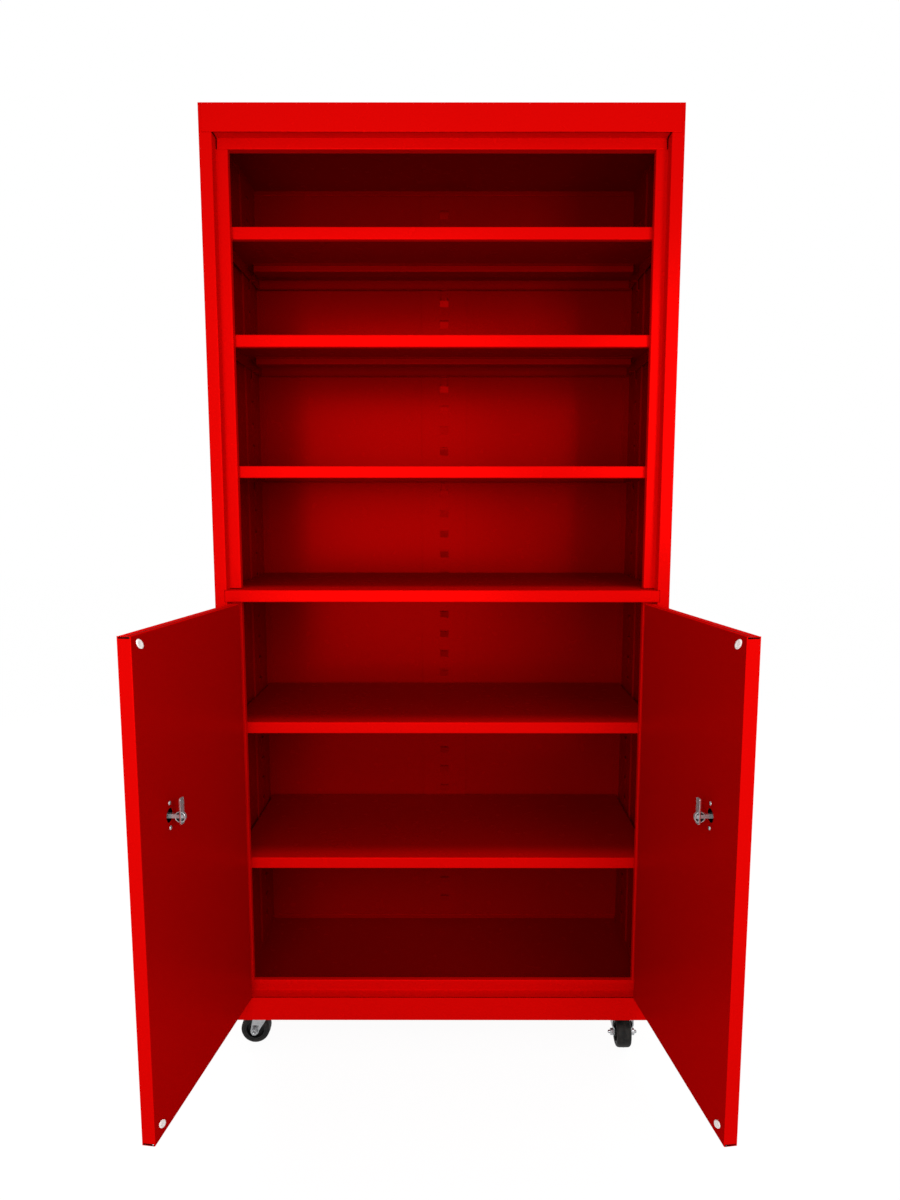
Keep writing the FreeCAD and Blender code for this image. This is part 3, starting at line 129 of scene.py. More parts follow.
def painted_shade_mask(tree, place):
    """1 deep in the case, 0 outside it, with a ramp behind the edges of the shelves."""
    axes = tree.nodes.new("ShaderNodeSeparateXYZ")
    tree.links.new(place, axes.inputs[0])
    x, y, z = axes.outputs
    ramp = tree.nodes.new("ShaderNodeMapRange")
    ramp.interpolation_type = "SMOOTHSTEP"
    ramp.inputs["From Min"].default_value = INSIDE_START
    ramp.inputs["From Max"].default_value = INSIDE_DEEP
    tree.links.new(y, ramp.inputs["Value"])
    mask = ramp.outputs[0]
    limits = (
        math_node(tree, "LESS_THAN", y, INSIDE_END),
        math_node(tree, "LESS_THAN", math_node(tree, "ABSOLUTE", x, 0.0), INSIDE_HALF),
        math_node(tree, "GREATER_THAN", z, INSIDE_FLOOR),
        math_node(tree, "LESS_THAN", z, INSIDE_CEILING),
    )
    for limit in limits:
        mask = math_node(tree, "MULTIPLY", mask, limit)
    return mask


# %% The enamel group
NOISE_MEAN = 0.5
FILM_SWELL_SCALE, FILM_CLOUD_SCALE, FILM_HAZE = 4.0, 38.0, 0.025


def make_enamel_group():
    """Paint whose colour, gloss and peel vary, with painted shade that darkens it inside the case."""
    group, source, sink = start_group(
        "sprayed_film_and_painted_shade",
        [("Colour", COLOUR, (0.7, 0.0, 0.0, 1.0)), ("Roughness", FLOAT, 0.4),
         ("Unevenness", FLOAT, 0.06), ("Peel Scale", FLOAT, 700.0), ("Inside Film", FLOAT, 0.6)],
        [("Colour", COLOUR), ("Roughness", FLOAT), ("Height", FLOAT)])
    place = group.nodes.new("ShaderNodeTexCoord").outputs["Object"]
    slow = noise_node(group, place, FILM_SWELL_SCALE, detail=3.0)
    cloudy = noise_node(group, place, FILM_CLOUD_SCALE, detail=4.0)
    peel = noise_node(group, place, source.outputs["Peel Scale"], detail=1.0)
    swing = math_node(group, "SUBTRACT", slow, NOISE_MEAN)
    even = math_node(group, "MULTIPLY_ADD", swing, source.outputs["Unevenness"], 1.0)
    # Painted shade: the colour is darkened inside the case, where the mask is 1.
    painted_shade_depth = math_node(group, "SUBTRACT", 1.0, source.outputs["Inside Film"])
    painted_shade_loss = math_node(group, "MULTIPLY", painted_shade_depth, painted_shade_mask(group, place))
    film = math_node(group, "SUBTRACT", even, painted_shade_loss)
    group.links.new(tinted(group, source.outputs["Colour"], film), sink.inputs["Colour"])
    haze = math_node(group, "SUBTRACT", cloudy, NOISE_MEAN)
    rough = math_node(group, "MULTIPLY_ADD", haze, FILM_HAZE, source.outputs["Roughness"])
    group.links.new(rough, sink.inputs["Roughness"])
    group.links.new(peel, sink.inputs["Height"])
    return group


enamel_group = make_enamel_group()


# %% [markdown]
# ### Plated steel
# Bright zinc shows the direction in which the steel was rolled, and cloudy spots where the bath
# took better. Noise that is stretched along one axis gives the rolling lines.

# %% The plated steel group
ROLLING_STRETCH = (1.0, 1.0, 0.06)
BATH_CLOUD_SCALE, BATH_WEAR = 160.0, 0.3


def make_plating_group():
    """Plated steel with rolling lines along Z and cloudy spots."""
    group, source, sink = start_group(
        "plated_steel",
        [("Colour", COLOUR, (0.6, 0.6, 0.6, 1.0)), ("Roughness", FLOAT, 0.25),
         ("Clouds", FLOAT, 0.2), ("Line Scale", FLOAT, 900.0)],
        [("Colour", COLOUR), ("Roughness", FLOAT), ("Height", FLOAT)])
    place = group.nodes.new("ShaderNodeTexCoord").outputs["Object"]
    stretch = group.nodes.new("ShaderNodeMapping")
    stretch.inputs["Scale"].default_value = ROLLING_STRETCH
    group.links.new(place, stretch.inputs["Vector"])
    lines = noise_node(group, stretch.outputs["Vector"], source.outputs["Line Scale"])
    clouds = noise_node(group, place, BATH_CLOUD_SCALE, detail=3.0)
    swing = math_node(group, "SUBTRACT", clouds, NOISE_MEAN)
    shade = math_node(group, "MULTIPLY_ADD", swing, source.outputs["Clouds"], 1.0)
    group.links.new(tinted(group, source.outputs["Colour"], shade), sink.inputs["Colour"])
    worn = math_node(group, "MULTIPLY_ADD", swing, BATH_WEAR, source.outputs["Roughness"])
    group.links.new(worn, sink.inputs["Roughness"])
    group.links.new(lines, sink.inputs["Height"])
    return group


plating_group = make_plating_group()


# %% [markdown]
# ### Rubber and moulded plastic
# Tyres and hubs are matt, with a fine grain from the mould and pale dust from the floor.

# %% The moulded group
DUST_SCALE, DUST_FROM, DUST_CONTRAST, GRAIN_SWING = 90.0, 0.42, 4.0, 0.15


def make_moulded_group():
    """A matt mould grain under patches of pale dust."""
    group, source, sink = start_group(
        "moulded_grain",
        [("Colour", COLOUR, (0.03, 0.03, 0.03, 1.0)), ("Dust Colour", COLOUR, (0.3, 0.28, 0.25, 1.0)),
         ("Dust", FLOAT, 0.3), ("Roughness", FLOAT, 0.7), ("Grain Scale", FLOAT, 1500.0)],
        [("Colour", COLOUR), ("Roughness", FLOAT), ("Height", FLOAT)])
    place = group.nodes.new("ShaderNodeTexCoord").outputs["Object"]
    patches = noise_node(group, place, DUST_SCALE, detail=5.0)
    grain = noise_node(group, place, source.outputs["Grain Scale"])
    lifted = math_node(group, "SUBTRACT", patches, DUST_FROM)
    cover = math_node(group, "MULTIPLY", lifted, DUST_CONTRAST)
    mask = math_node(group, "MULTIPLY", cover, source.outputs["Dust"])
    mix = group.nodes.new("ShaderNodeMix")
    mix.data_type = "RGBA"
    mix.clamp_factor = True
    group.links.new(mask, mix.inputs["Factor"])
    group.links.new(source.outputs["Colour"], mix.inputs["A"])
    group.links.new(source.outputs["Dust Colour"], mix.inputs["B"])
    group.links.new(mix.outputs["Result"], sink.inputs["Colour"])
    rough = math_node(group, "MULTIPLY_ADD", grain, GRAIN_SWING, source.outputs["Roughness"])
    group.links.new(rough, sink.inputs["Roughness"])
    group.links.new(grain, sink.inputs["Height"])
    return group


moulded_group = make_moulded_group()


# %% [markdown]
# ### The materials themselves
# Each material is one Principled shader fed by one group. What is the same all over a surface,
# such as the specular level, stays on the shader's own socket.

# %% Build a material from a group
def make_material(name, group, values, bump, **sockets):
    """Feed a Principled shader from a group; bump is the depth of the pattern in metres."""
    material = bpy.data.materials.new(name)
    material.use_nodes = True
    tree = material.node_tree
    shader = tree.nodes["Principled BSDF"]
    finish = tree.nodes.new("ShaderNodeGroup")
    finish.node_tree = group
    for label, value in values.items():
        finish.inputs[label].default_value = value
    tree.links.new(finish.outputs["Colour"], shader.inputs["Base Color"])
    tree.links.new(finish.outputs["Roughness"], shader.inputs["Roughness"])
    relief = tree.nodes.new("ShaderNodeBump")
    relief.inputs["Distance"].default_value = bump
    relief.inputs["Strength"].default_value = 1.0
    tree.links.new(finish.outputs["Height"], relief.inputs["Height"])
    tree.links.new(relief.outputs["Normal"], shader.inputs["Normal"])
    for label, value in sockets.items():
        shader.inputs[label.replace("_", " ")].default_value = value
    return material


PEEL_DEPTH = 0.0000012
ENAMEL_SHINE = {"Metallic": 0.18, "Specular_IOR_Level": 0.0,
                "Specular_Tint": (1.0, 0.02, 0.01, 1.0)}
red_enamel = make_material(
    "red_enamel", enamel_group,
    {"Colour": (0.62, 0.0012, 0.0008, 1.0), "Roughness": 0.27, "Unevenness": 0.04,
     "Peel Scale": 650.0, "Inside Film": 0.5},
    PEEL_DEPTH, **ENAMEL_SHINE)
# The lining of a door: a darker copy of the red enamel, as painted shade.
lining_painted_shade = make_material(
    "lining_enamel_painted_shade", enamel_group,
    {"Colour": (0.40, 0.0008, 0.0006, 1.0), "Roughness": 0.3, "Unevenness": 0.04,
     "Peel Scale": 650.0, "Inside Film": 0.6},
    PEEL_DEPTH, **ENAMEL_SHINE)
zinc = make_material(
    "bright_zinc", plating_group,
    {"Colour": (0.44, 0.46, 0.47, 1.0), "Roughness": 0.24, "Clouds": 0.4, "Line Scale": 900.0},
    0.000006, Metallic=0.6)
worn_zinc = make_material(
    "worn_zinc", plating_group,
    {"Colour": (0.36, 0.37, 0.38, 1.0), "Roughness": 0.24, "Clouds": 0.9, "Line Scale": 700.0},
    0.00001, Metallic=0.85)
chrome = make_material(
    "polished_chrome", plating_group,
    {"Colour": (0.75, 0.76, 0.77, 1.0), "Roughness": 0.08, "Clouds": 0.08, "Line Scale": 1200.0},
    0.000004, Metallic=0.9)
tyre_rubber = make_material(
    "tyre_rubber", moulded_group,
    {"Colour": (0.008, 0.008, 0.0078, 1.0), "Dust Colour": (0.10, 0.09, 0.075, 1.0), "Dust": 0.16,
     "Roughness": 0.5, "Grain Scale": 1800.0},
    0.00004, Specular_IOR_Level=0.16)
hub_plastic = make_material(
    "hub_plastic", moulded_group,
    {"Colour": (0.006, 0.006, 0.0062, 1.0), "Dust Colour": (0.08, 0.075, 0.07, 1.0), "Dust": 0.08,
     "Roughness": 0.42, "Grain Scale": 2400.0},
    0.00002, Specular_IOR_Level=0.2)
bumper_rubber = make_material(
    "bumper_rubber", moulded_group,
    {"Colour": (0.97, 0.96, 0.92, 1.0), "Dust Colour": (0.86, 0.8, 0.68, 1.0), "Dust": 0.12,
     "Roughness": 0.42, "Grain Scale": 900.0},
    0.00004)
# Near-black painted shade, for the hollow of a door, the sleeve of a latch and the inside of a cup.
near_black_painted_shade = make_material(
    "painted_shade_hollows", plating_group,
    {"Colour": (0.012, 0.011, 0.011, 1.0), "Roughness": 0.7, "Clouds": 0.3, "Line Scale": 700.0},
    0.00002, Metallic=0.3)
FINISHES = {"red_enamel": red_enamel, "zinc": zinc, "chrome": chrome, "tyre": tyre_rubber,
            "hub": hub_plastic, "bumper": bumper_rubber}
print("finishes for the nodes:", len(FINISHES))

# %% Give every node the finish of its slot
slot_of = {row["node"]: row["material_slot"] for row in frame["record"]["subparts"]}
body_of = {node: body for body, nodes in frame["record"]["behaviour"]["bodies"].items()
           for node in nodes}
for node, obj in frame["nodes"].items():
    if not obj.material_slots:
        obj.data.materials.append(None)
    for material_slot in obj.material_slots:
        material_slot.material = FINISHES[slot_of[node]]


# %% [markdown]
# ## Folded sheet
# The CAD solids have sharp folds, but a press brake leaves a round bend, and that thin round strip
# is what catches the light on a real cabinet. A Bevel modifier would round every edge alike, also
# the 1.2 mm rims of the sheet, and clash there. Here a copy of each solid is merged from loose
# triangles into flat faces, and only the edges between two wide faces are bevelled: the outer
# side of a bend by a large radius, the inner side by what the sheet's thickness leaves of it.

# %% Start a mesh from a CAD node, and finish one as a piece
WELD, FLAT_DEG = 0.002 * MM, 0.6


def node_mesh(node):
    """A merged copy of a node's mesh with flat faces in place of triangles."""
    bm = bmesh.new()
    bm.from_mesh(frame["nodes"][node].data)
    bmesh.ops.remove_doubles(bm, verts=bm.verts, dist=WELD)
    bmesh.ops.dissolve_limit(bm, angle_limit=math.radians(FLAT_DEG), use_dissolve_boundaries=False,
                             verts=bm.verts, edges=bm.edges, delimit=set())
    bm.normal_update()
    return bm


def finish_piece(bm, name, node, materials, smooth_deg=50.0):
    """Turn a bmesh into a piece that stands for a CAD node, on the node's body."""
    mesh = bpy.data.meshes.new(name)
    limit = math.radians(smooth_deg)
    for edge in bm.edges:
        edge.smooth = len(edge.link_faces) == 2 and edge.calc_face_angle(0.0) < limit
    for face in bm.faces:
        face.smooth = True
    bm.to_mesh(mesh)
    bm.free()
    for material in materials:
        mesh.materials.append(material)
    piece = bpy.data.objects.new(name, mesh)
    bpy.context.collection.objects.link(piece)
    shading = piece.modifiers.new("even_shading", "WEIGHTED_NORMAL")
    shading.mode = "FACE_AREA"
    shading.keep_sharp = True
    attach(piece, body_of[node])
    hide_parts(node)
    return piece


# %% Tell a bend from a rim
RIM_WIDTH = 2.6 * MM
LEAST_BEND, LEAST_BEND_DEG = 6.0 * MM, 60.0
FAR_AWAY, LEVEL_WITHIN, TOUCHING = 1.0, 1e-9, 1e-6


def width_beside(edge, face):
    """How wide a face is, measured from the middle of one of its edges."""
    middle = (edge.verts[0].co + edge.verts[1].co) / 2.0
    along = (edge.verts[1].co - edge.verts[0].co).normalized()
    inward = face.normal.cross(along)
    if inward.dot(face.calc_center_median() - middle) < 0.0:
        inward = -inward
    nearest = FAR_AWAY
    for other in face.edges:
        if other is edge:
            continue
        first = other.verts[0].co - middle
        last = other.verts[1].co - middle
        low, high = first.dot(along), last.dot(along)
        if (low > 0.0) == (high > 0.0) or abs(high - low) < LEVEL_WITHIN:
            continue
        share = -low / (high - low)
        distance = (first + (last - first) * share).dot(inward)
        if distance > TOUCHING:
            nearest = min(nearest, distance)
    return nearest


def bends(bm, convex):
    """The folds of a sheet, seen from its outer or its inner side."""
    found = []
    for edge in bm.edges:
        if len(edge.link_faces) != 2 or edge.calc_length() < LEAST_BEND:
            continue
        angle = abs(edge.calc_face_angle(0.0))
        if angle < math.radians(LEAST_BEND_DEG) or edge.is_convex != convex:
            continue
        if all(width_beside(edge, face) > RIM_WIDTH for face in edge.link_faces):
            found.append(edge)
    return found


OUTER_BEND, INNER_BEND = 1.9 * MM, 0.7 * MM


def round_bends(bm):
    """Round the outer and the inner side of every fold, and count both."""
    counts = []
    for convex, radius in ((True, OUTER_BEND), (False, INNER_BEND)):
        edges = bends(bm, convex)
        counts.append(len(edges))
        if edges:
            bmesh.ops.bevel(bm, geom=edges, offset=radius, offset_type="OFFSET", segments=4,
                            profile=0.5, affect="EDGES", clamp_overlap=False, material=-1)
    bm.normal_update()
    return counts


# %% [markdown]
# The lining of a door is drawn in a darker copy of the red, as painted shade, and the hollow of
# the door, which shows in the slits at the corners and in the seam between the two skins, is drawn
# near-black as painted shade. The faces of a door get one of these three finishes by where they
# look, and the joint of its latch says which way is inward.

# %% The lining of a door
JOINTS = {joint["name"]: joint for joint in frame["joints"]}
UP = Vector((0.0, 0.0, 1.0))
SHEET_FINISHES = [red_enamel, lining_painted_shade, near_black_painted_shade]
PAINT, LINING, HOLLOW = range(3)
FACING = 0.7


def door_inward(side):
    """The direction from the outer to the inner skin of a door, as it stands open."""
    axis = Vector(JOINTS[side + "_latch_turn"]["axis"])
    return axis if side == "left" else -axis


def door_finishes(bm, side, lining):
    """Paint outside, a darker red as painted shade on the lining, near-black painted shade in the hollow."""
    inward = door_inward(side)
    low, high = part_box(side + "_door_shell")
    corners = [Vector((x, y, z)) for x in (low[0], high[0]) for y in (low[1], high[1])
               for z in (low[2], high[2])]
    middle = sum(corners, Vector()) / len(corners)
    for face in bm.faces:
        gap = face.calc_center_median() - middle
        main = max((UP, inward, inward.cross(UP)), key=lambda axis: abs(face.normal.dot(axis)))
        looks_inward = face.normal.dot(inward) > FACING
        if face.normal.dot(main) * gap.dot(main) < 0.0 or (looks_inward and not lining):
            face.material_index = HOLLOW
        elif looks_inward:
            face.material_index = LINING
        else:
            face.material_index = PAINT


# %% The seam between the skins of a door
SEAM_FROM, SEAM_TO, SEAM_SHIFT = 14.0 * MM, 17.4 * MM, 0.8 * MM


def open_seam(bm, side):
    """Draw the back of the outer skin in a little, so that the seam shows as a dark line."""
    inward = door_inward(side)
    skin = Vector(JOINTS[side + "_latch_turn"]["pos_m"]).dot(inward)
    rim = [vert for vert in bm.verts
           if SEAM_FROM < vert.co.dot(inward) - skin < SEAM_TO]
    bmesh.ops.translate(bm, verts=rim, vec=inward * -SEAM_SHIFT)
    print(side, "seam vertices:", len(rim))


# %% Fold the sheets of the case and the doors
SHEETS = ["header_rail", "sill_rail", "mid_shelf", "top_panel", "bottom_panel",
          "upper_shelf_top", "upper_shelf_middle", "upper_shelf_bottom",
          "lower_shelf_top", "lower_shelf_bottom", "upper_shelf_stiffeners",
          "lower_shelf_stiffeners", "left_door_shell", "right_door_shell",
          "left_door_inner_panel", "right_door_inner_panel"]
for sheet in SHEETS:
    bm = node_mesh(sheet)
    counts = round_bends(bm)
    faces = len(bm.faces)
    if sheet.endswith("door_shell"):
        open_seam(bm, sheet.split("_")[0])
    if "_door_" in sheet:
        door_finishes(bm, sheet.split("_")[0], sheet.endswith("inner_panel"))
    finish_piece(bm, sheet + "_folded", sheet, SHEET_FINISHES, smooth_deg=35.0)
    print(sheet, "bends", counts, "faces", faces)


# %% [markdown]
# ## Turned pieces
# Rivet heads, bumpers, tyres and hubs are round, so each is a profile that is spun about its axis.
# A cylinder with bevelled ends would be quicker, but a profile can have the exact dish, shoulder
# and mould line of the piece. The mesh is made round the origin and then moved into its place.

# %% Spin a profile and join shapes
SPIN_WELD = 0.001 * MM


def spun(profile, axis, steps, closed=False):
    """Spin (along, radius) pairs, in millimetres, once round an axis through the origin."""
    bm = bmesh.new()
    out = UP if abs(axis.z) < 0.5 else Vector((1.0, 0.0, 0.0))
    verts = [bm.verts.new((axis * along + out * radius) * MM) for along, radius in profile]
    edges = [bm.edges.new(pair) for pair in zip(verts, verts[1:])]
    if closed:
        edges.append(bm.edges.new((verts[-1], verts[0])))
    bmesh.ops.spin(bm, geom=verts + edges, cent=(0.0, 0.0, 0.0), axis=axis, dvec=(0.0, 0.0, 0.0),
                   angle=math.tau, steps=steps, use_merge=True, use_duplicate=False)
    bmesh.ops.remove_doubles(bm, verts=bm.verts, dist=SPIN_WELD)
    bmesh.ops.recalc_face_normals(bm, faces=bm.faces)
    return bm


def join_into(bm, part, place):
    """Move a finished shape to its place and add it to a bigger mesh."""
    bmesh.ops.transform(part, matrix=place, verts=part.verts)
    carrier = bpy.data.meshes.new("carrier")
    part.to_mesh(carrier)
    part.free()
    bm.from_mesh(carrier)
    bpy.data.meshes.remove(carrier)


def axes_matrix(origin, across, along, up):
    """The matrix that puts a shape's own X, Y and Z on three given directions."""
    turn = Matrix((across, along, up)).transposed().to_4x4()
    return Matrix.Translation(Vector(origin)) @ turn


def shifted(x, y, z):
    """A shift given in millimetres."""
    return Matrix.Translation(Vector((x, y, z)) * MM)


ACROSS = Vector((1.0, 0.0, 0.0))
ALONG = Vector((0.0, 1.0, 0.0))


# %% [markdown]
# ### Softened copies
# Stamped and machined steel never has a perfectly sharp edge: a narrow bright line runs along it.
# For the small pieces whose shape the CAD already has, a merged copy gets a narrow bevel on all
# its sharp edges, which is enough for that line.

# %% Soften the sharp edges of a copy
def soften(bm, width, segments=2, least_deg=42.0):
    """Bevel all the edges that are sharper than an angle, and count them."""
    bm.normal_update()
    edges = [edge for edge in bm.edges if len(edge.link_faces) == 2
             and edge.calc_face_angle(0.0) > math.radians(least_deg)]
    if edges:
        bmesh.ops.bevel(bm, geom=edges, offset=width, offset_type="OFFSET", segments=segments,
                        profile=0.5, affect="EDGES", clamp_overlap=True, material=-1)
    bm.normal_update()
    return len(edges)


def softened_piece(node, width):
    """Stand for a CAD node with its own shape and soft edges."""
    bm = node_mesh(node)
    count = soften(bm, width * MM)
    faces = len(bm.faces)
    finish_piece(bm, node + "_soft", node, [FINISHES[slot_of[node]]])
    print(node, "softened edges", count, "faces", faces)


# %% [markdown]
# ## Latches
# Each door has a turning latch: a lever outside, a square spindle through the door, and on its
# inner end a clamp with a blade that turns with the lever. The rivets that hold the rose have
# domed heads on the lining. Everything is made in a frame of its own, X across the door, Y inward
# and Z up, with its origin on the outer skin, and then put on the door with the axis of its joint.

# %% The frame of a latch
DOOR_THICK = 23.0
RIVET_HEIGHTS = (-21.5, 21.5)


def latch_frame(side):
    """From the frame of a latch to its place on the open door."""
    inward = door_inward(side)
    return axes_matrix(JOINTS[side + "_latch_turn"]["pos_m"], inward.cross(UP), inward, UP)


def domed_rivet():
    """A short shank under a domed head, on the lining."""
    skin = DOOR_THICK
    profile = [(skin - 2.0, 0.0), (skin - 2.0, 2.3), (skin, 2.3), (skin, 3.6), (skin + 0.5, 3.7),
               (skin + 1.2, 3.4), (skin + 1.8, 2.6), (skin + 2.1, 1.4), (skin + 2.2, 0.0)]
    return spun(profile, ALONG, steps=24)


def latch_rivets(side):
    """The two rivets over and under a latch."""
    bm = bmesh.new()
    for height in RIVET_HEIGHTS:
        join_into(bm, domed_rivet(), latch_frame(side) @ shifted(0.0, 0.0, height))
    node = side + "_latch_rivets"
    return finish_piece(bm, side + "_domed_rivets", node, [FINISHES[slot_of[node]]])


# %% The bumpers at the free edge of a door
BUMPER_ACROSS = 73.7
BUMPER_HEIGHTS = (302.3, -506.0)
BUMPER_STRETCH = (1.21, 1.0, 0.66)
BUMPER_SLANT_DEG = {"left": -34.0, "right": 34.0}


def dished_bumper(slant):
    """A soft pad with a rolled rim and a shallow dish, drawn out to an oval that slants."""
    skin = DOOR_THICK
    profile = [(skin, 0.0), (skin, 9.4), (skin + 0.3, 9.9), (skin + 1.0, 9.8),
               (skin + 1.5, 9.3), (skin + 1.9, 8.3), (skin + 2.0, 7.0), (skin + 1.9, 5.2),
               (skin + 1.6, 3.8), (skin + 1.5, 1.8), (skin + 1.5, 0.0)]
    bm = spun(profile, ALONG, steps=40)
    bmesh.ops.scale(bm, verts=bm.verts, vec=BUMPER_STRETCH)
    bmesh.ops.rotate(bm, verts=bm.verts, cent=(0.0, 0.0, 0.0),
                     matrix=Matrix.Rotation(slant, 3, "Y"))
    return bm


def door_bumpers(side):
    """The upper and the lower bumper of a door."""
    bm = bmesh.new()
    along_door = BUMPER_ACROSS if side == "left" else -BUMPER_ACROSS
    slant = math.radians(BUMPER_SLANT_DEG[side])
    for height in BUMPER_HEIGHTS:
        join_into(bm, dished_bumper(slant), latch_frame(side) @ shifted(along_door, 0.0, height))
    node = side + "_door_bumpers"
    return finish_piece(bm, side + "_dished_bumpers", node, [bumper_rubber])


# %% The rose of a latch
SLEEVE_FROM = 0.2 * MM


def latch_rose(side):
    """The round rose outside, in one with the sleeve through the door, drawn near-black as painted shade."""
    profile = [(12.0, 6.05), (12.0, 8.7), (11.6, 9.0), (0.0, 9.0), (0.0, 23.6), (-0.5, 24.0),
               (-1.9, 24.0), (-2.5, 23.4), (-2.7, 20.9), (-3.2, 20.1), (-4.3, 19.6), (-5.0, 18.6),
               (-5.0, 6.6), (-4.6, 6.05)]
    turned = spun(profile, ALONG, steps=48, closed=True)
    # The faces of the sleeve get the near-black painted shade.
    for face in turned.faces:
        face.material_index = 1 if face.calc_center_median().y > SLEEVE_FROM else 0
    bm = bmesh.new()
    join_into(bm, turned, latch_frame(side))
    node = side + "_latch_rose"
    return finish_piece(bm, side + "_turned_rose", node,
                        [FINISHES[slot_of[node]], near_black_painted_shade], smooth_deg=32.0)


# %% The lever and its spindle
LEVER_SOFT = 1.3 * MM
SPINDLE_END_FROM, SPINDLE_SLIMMER, PLATED_FROM = 12.3 * MM, (0.7, 1.0, 0.7), 8.0 * MM
UPWARD, SIDEWAYS = 0.8, 0.6


def latch_handle(side):
    """The CAD shape with soft edges, its square end slimmer and of plated steel but for a painted highlight on
    top.
    """
    node = side + "_latch_handle"
    place = latch_frame(side)
    bm = node_mesh(node)
    bmesh.ops.transform(bm, matrix=place.inverted(), verts=bm.verts)
    soften(bm, LEVER_SOFT, segments=3)
    inner_end = [vert for vert in bm.verts if vert.co.y > SPINDLE_END_FROM]
    bmesh.ops.scale(bm, verts=inner_end, vec=SPINDLE_SLIMMER)
    # Painted highlight: the upward faces of the spindle keep the lever's finish.
    for face in bm.faces:
        if face.calc_center_median().y > PLATED_FROM:
            face.material_index = 0 if face.normal.z > UPWARD else 1
    bmesh.ops.transform(bm, matrix=place, verts=bm.verts)
    return finish_piece(bm, side + "_latch_lever", node, [FINISHES[slot_of[node]], zinc])


# %% [markdown]
# The blade is a stamped plate with rounded corners and a shallow stamped panel. The clamp that
# holds it is a shallow round cup: it opens towards the free edge of the door, and the end of the
# spindle and the blade cross in it. A cylinder would have to be hollowed with a boolean, while one
# profile spun about the cup's axis gives its floor, wall and rounded rim at once.

# %% The blade and its clamp
BLADE_START, BLADE_THICK, BLADE_WIDTH, BLADE_TOP, BLADE_FOOT = 43.0, 2.6, 14.0, 32.0, -13.5
BLADE_CORNER, BLADE_SOFT = 3.2 * MM, 0.35 * MM
PANEL_MARGIN, PANEL_EDGE, PANEL_DEPTH = 1.5 * MM, 0.6 * MM, 0.5 * MM


def latch_blade(side):
    """The plate that turns with the lever, with chrome on its side edges as a painted highlight."""
    bm = bmesh.new()
    height = BLADE_TOP - BLADE_FOOT
    bmesh.ops.create_cube(bm, size=1.0)
    bmesh.ops.scale(bm, verts=bm.verts, vec=Vector((BLADE_WIDTH, BLADE_THICK, height)) * MM)
    middle = Vector((0.0, BLADE_START + BLADE_THICK / 2.0, (BLADE_TOP + BLADE_FOOT) / 2.0)) * MM
    bmesh.ops.translate(bm, verts=bm.verts, vec=middle)
    corners = [edge for edge in bm.edges if abs(edge.verts[0].co.y - edge.verts[1].co.y) > MM]
    bmesh.ops.bevel(bm, geom=corners, offset=BLADE_CORNER, offset_type="OFFSET", segments=4,
                    profile=0.5, affect="EDGES", clamp_overlap=True, material=-1)
    soften(bm, BLADE_SOFT, least_deg=60.0)
    inner = max(bm.faces, key=lambda face: face.calc_center_median().y)
    bmesh.ops.inset_region(bm, faces=[inner], thickness=PANEL_MARGIN, depth=0.0)
    bmesh.ops.inset_region(bm, faces=[inner], thickness=PANEL_EDGE, depth=-PANEL_DEPTH)
    # Painted highlight: the faces that look sideways get chrome.
    for face in bm.faces:
        face.material_index = 1 if abs(face.normal.x) > SIDEWAYS else 0
    whole = bmesh.new()
    join_into(whole, bm, latch_frame(side))
    node = side + "_latch_cam"
    return finish_piece(whole, side + "_latch_blade", node, [zinc, chrome], smooth_deg=40.0)


CUP_MIDDLE, CUP_DROP, CUP_RADIUS, CUP_WALL, CUP_WIDE, CUP_FLOOR = 41.9, 1.2, 9.6, 1.6, 6.0, 1.4


def latch_ring(side):
    """The clamp: a shallow round cup that opens towards the free edge of the door."""
    inside = CUP_RADIUS - CUP_WALL
    half = CUP_WIDE / 2.0
    profile = [(-half, 0.0), (-half, CUP_RADIUS - 0.5), (-half + 0.5, CUP_RADIUS),
               (half - 0.4, CUP_RADIUS), (half, CUP_RADIUS - 0.4), (half, inside + 0.3),
               (half - 0.3, inside), (-half + CUP_FLOOR, inside), (-half + CUP_FLOOR, 0.0)]
    cup = spun(profile, ACROSS, steps=40)
    if side == "right":
        bmesh.ops.rotate(cup, verts=cup.verts, cent=(0.0, 0.0, 0.0),
                         matrix=Matrix.Rotation(math.pi, 3, "Z"))
    # The deep inside of the cup gets the near-black painted shade.
    for face in cup.faces:
        middle = face.calc_center_median()
        deep = math.hypot(middle.y, middle.z) < inside * MM and abs(middle.x) < (half - 0.1) * MM
        face.material_index = 1 if deep else 0
    bm = bmesh.new()
    join_into(bm, cup, latch_frame(side) @ shifted(0.0, CUP_MIDDLE, -CUP_DROP))
    node = side + "_latch_clamp"
    return finish_piece(bm, side + "_latch_ring", node, [zinc, near_black_painted_shade], smooth_deg=40.0)


# %% Make both latches
for side in ("left", "right"):
    latch_rivets(side)
    door_bumpers(side)
    latch_rose(side)
    latch_blade(side)
    latch_ring(side)
    latch_handle(side)

# %% [markdown]
# ## Castors
# A castor is a pressed fork that turns under its plate on a king pin, with a wheel behind the pin.
# The tyre has round shoulders and a fine mould line, and the hub is a moulded rim, web and boss.
# They are made round the centre of the wheel, X along its axle and Y towards the king pin.

# %% The frame of a castor
def castor_frame(label):
    """From the frame of a castor to its place under the case."""
    joint = JOINTS[label + "_wheel_spin"]
    across = Vector(joint["axis"])
    return axes_matrix(joint["pos_m"], across, UP.cross(across), UP)


def mirrored(half):
    """A profile and its mirror image on the other side of the wheel's middle."""
    return [(-x, r) for x, r in reversed(half)] + [(x, r) for x, r in half if x > 0.0]


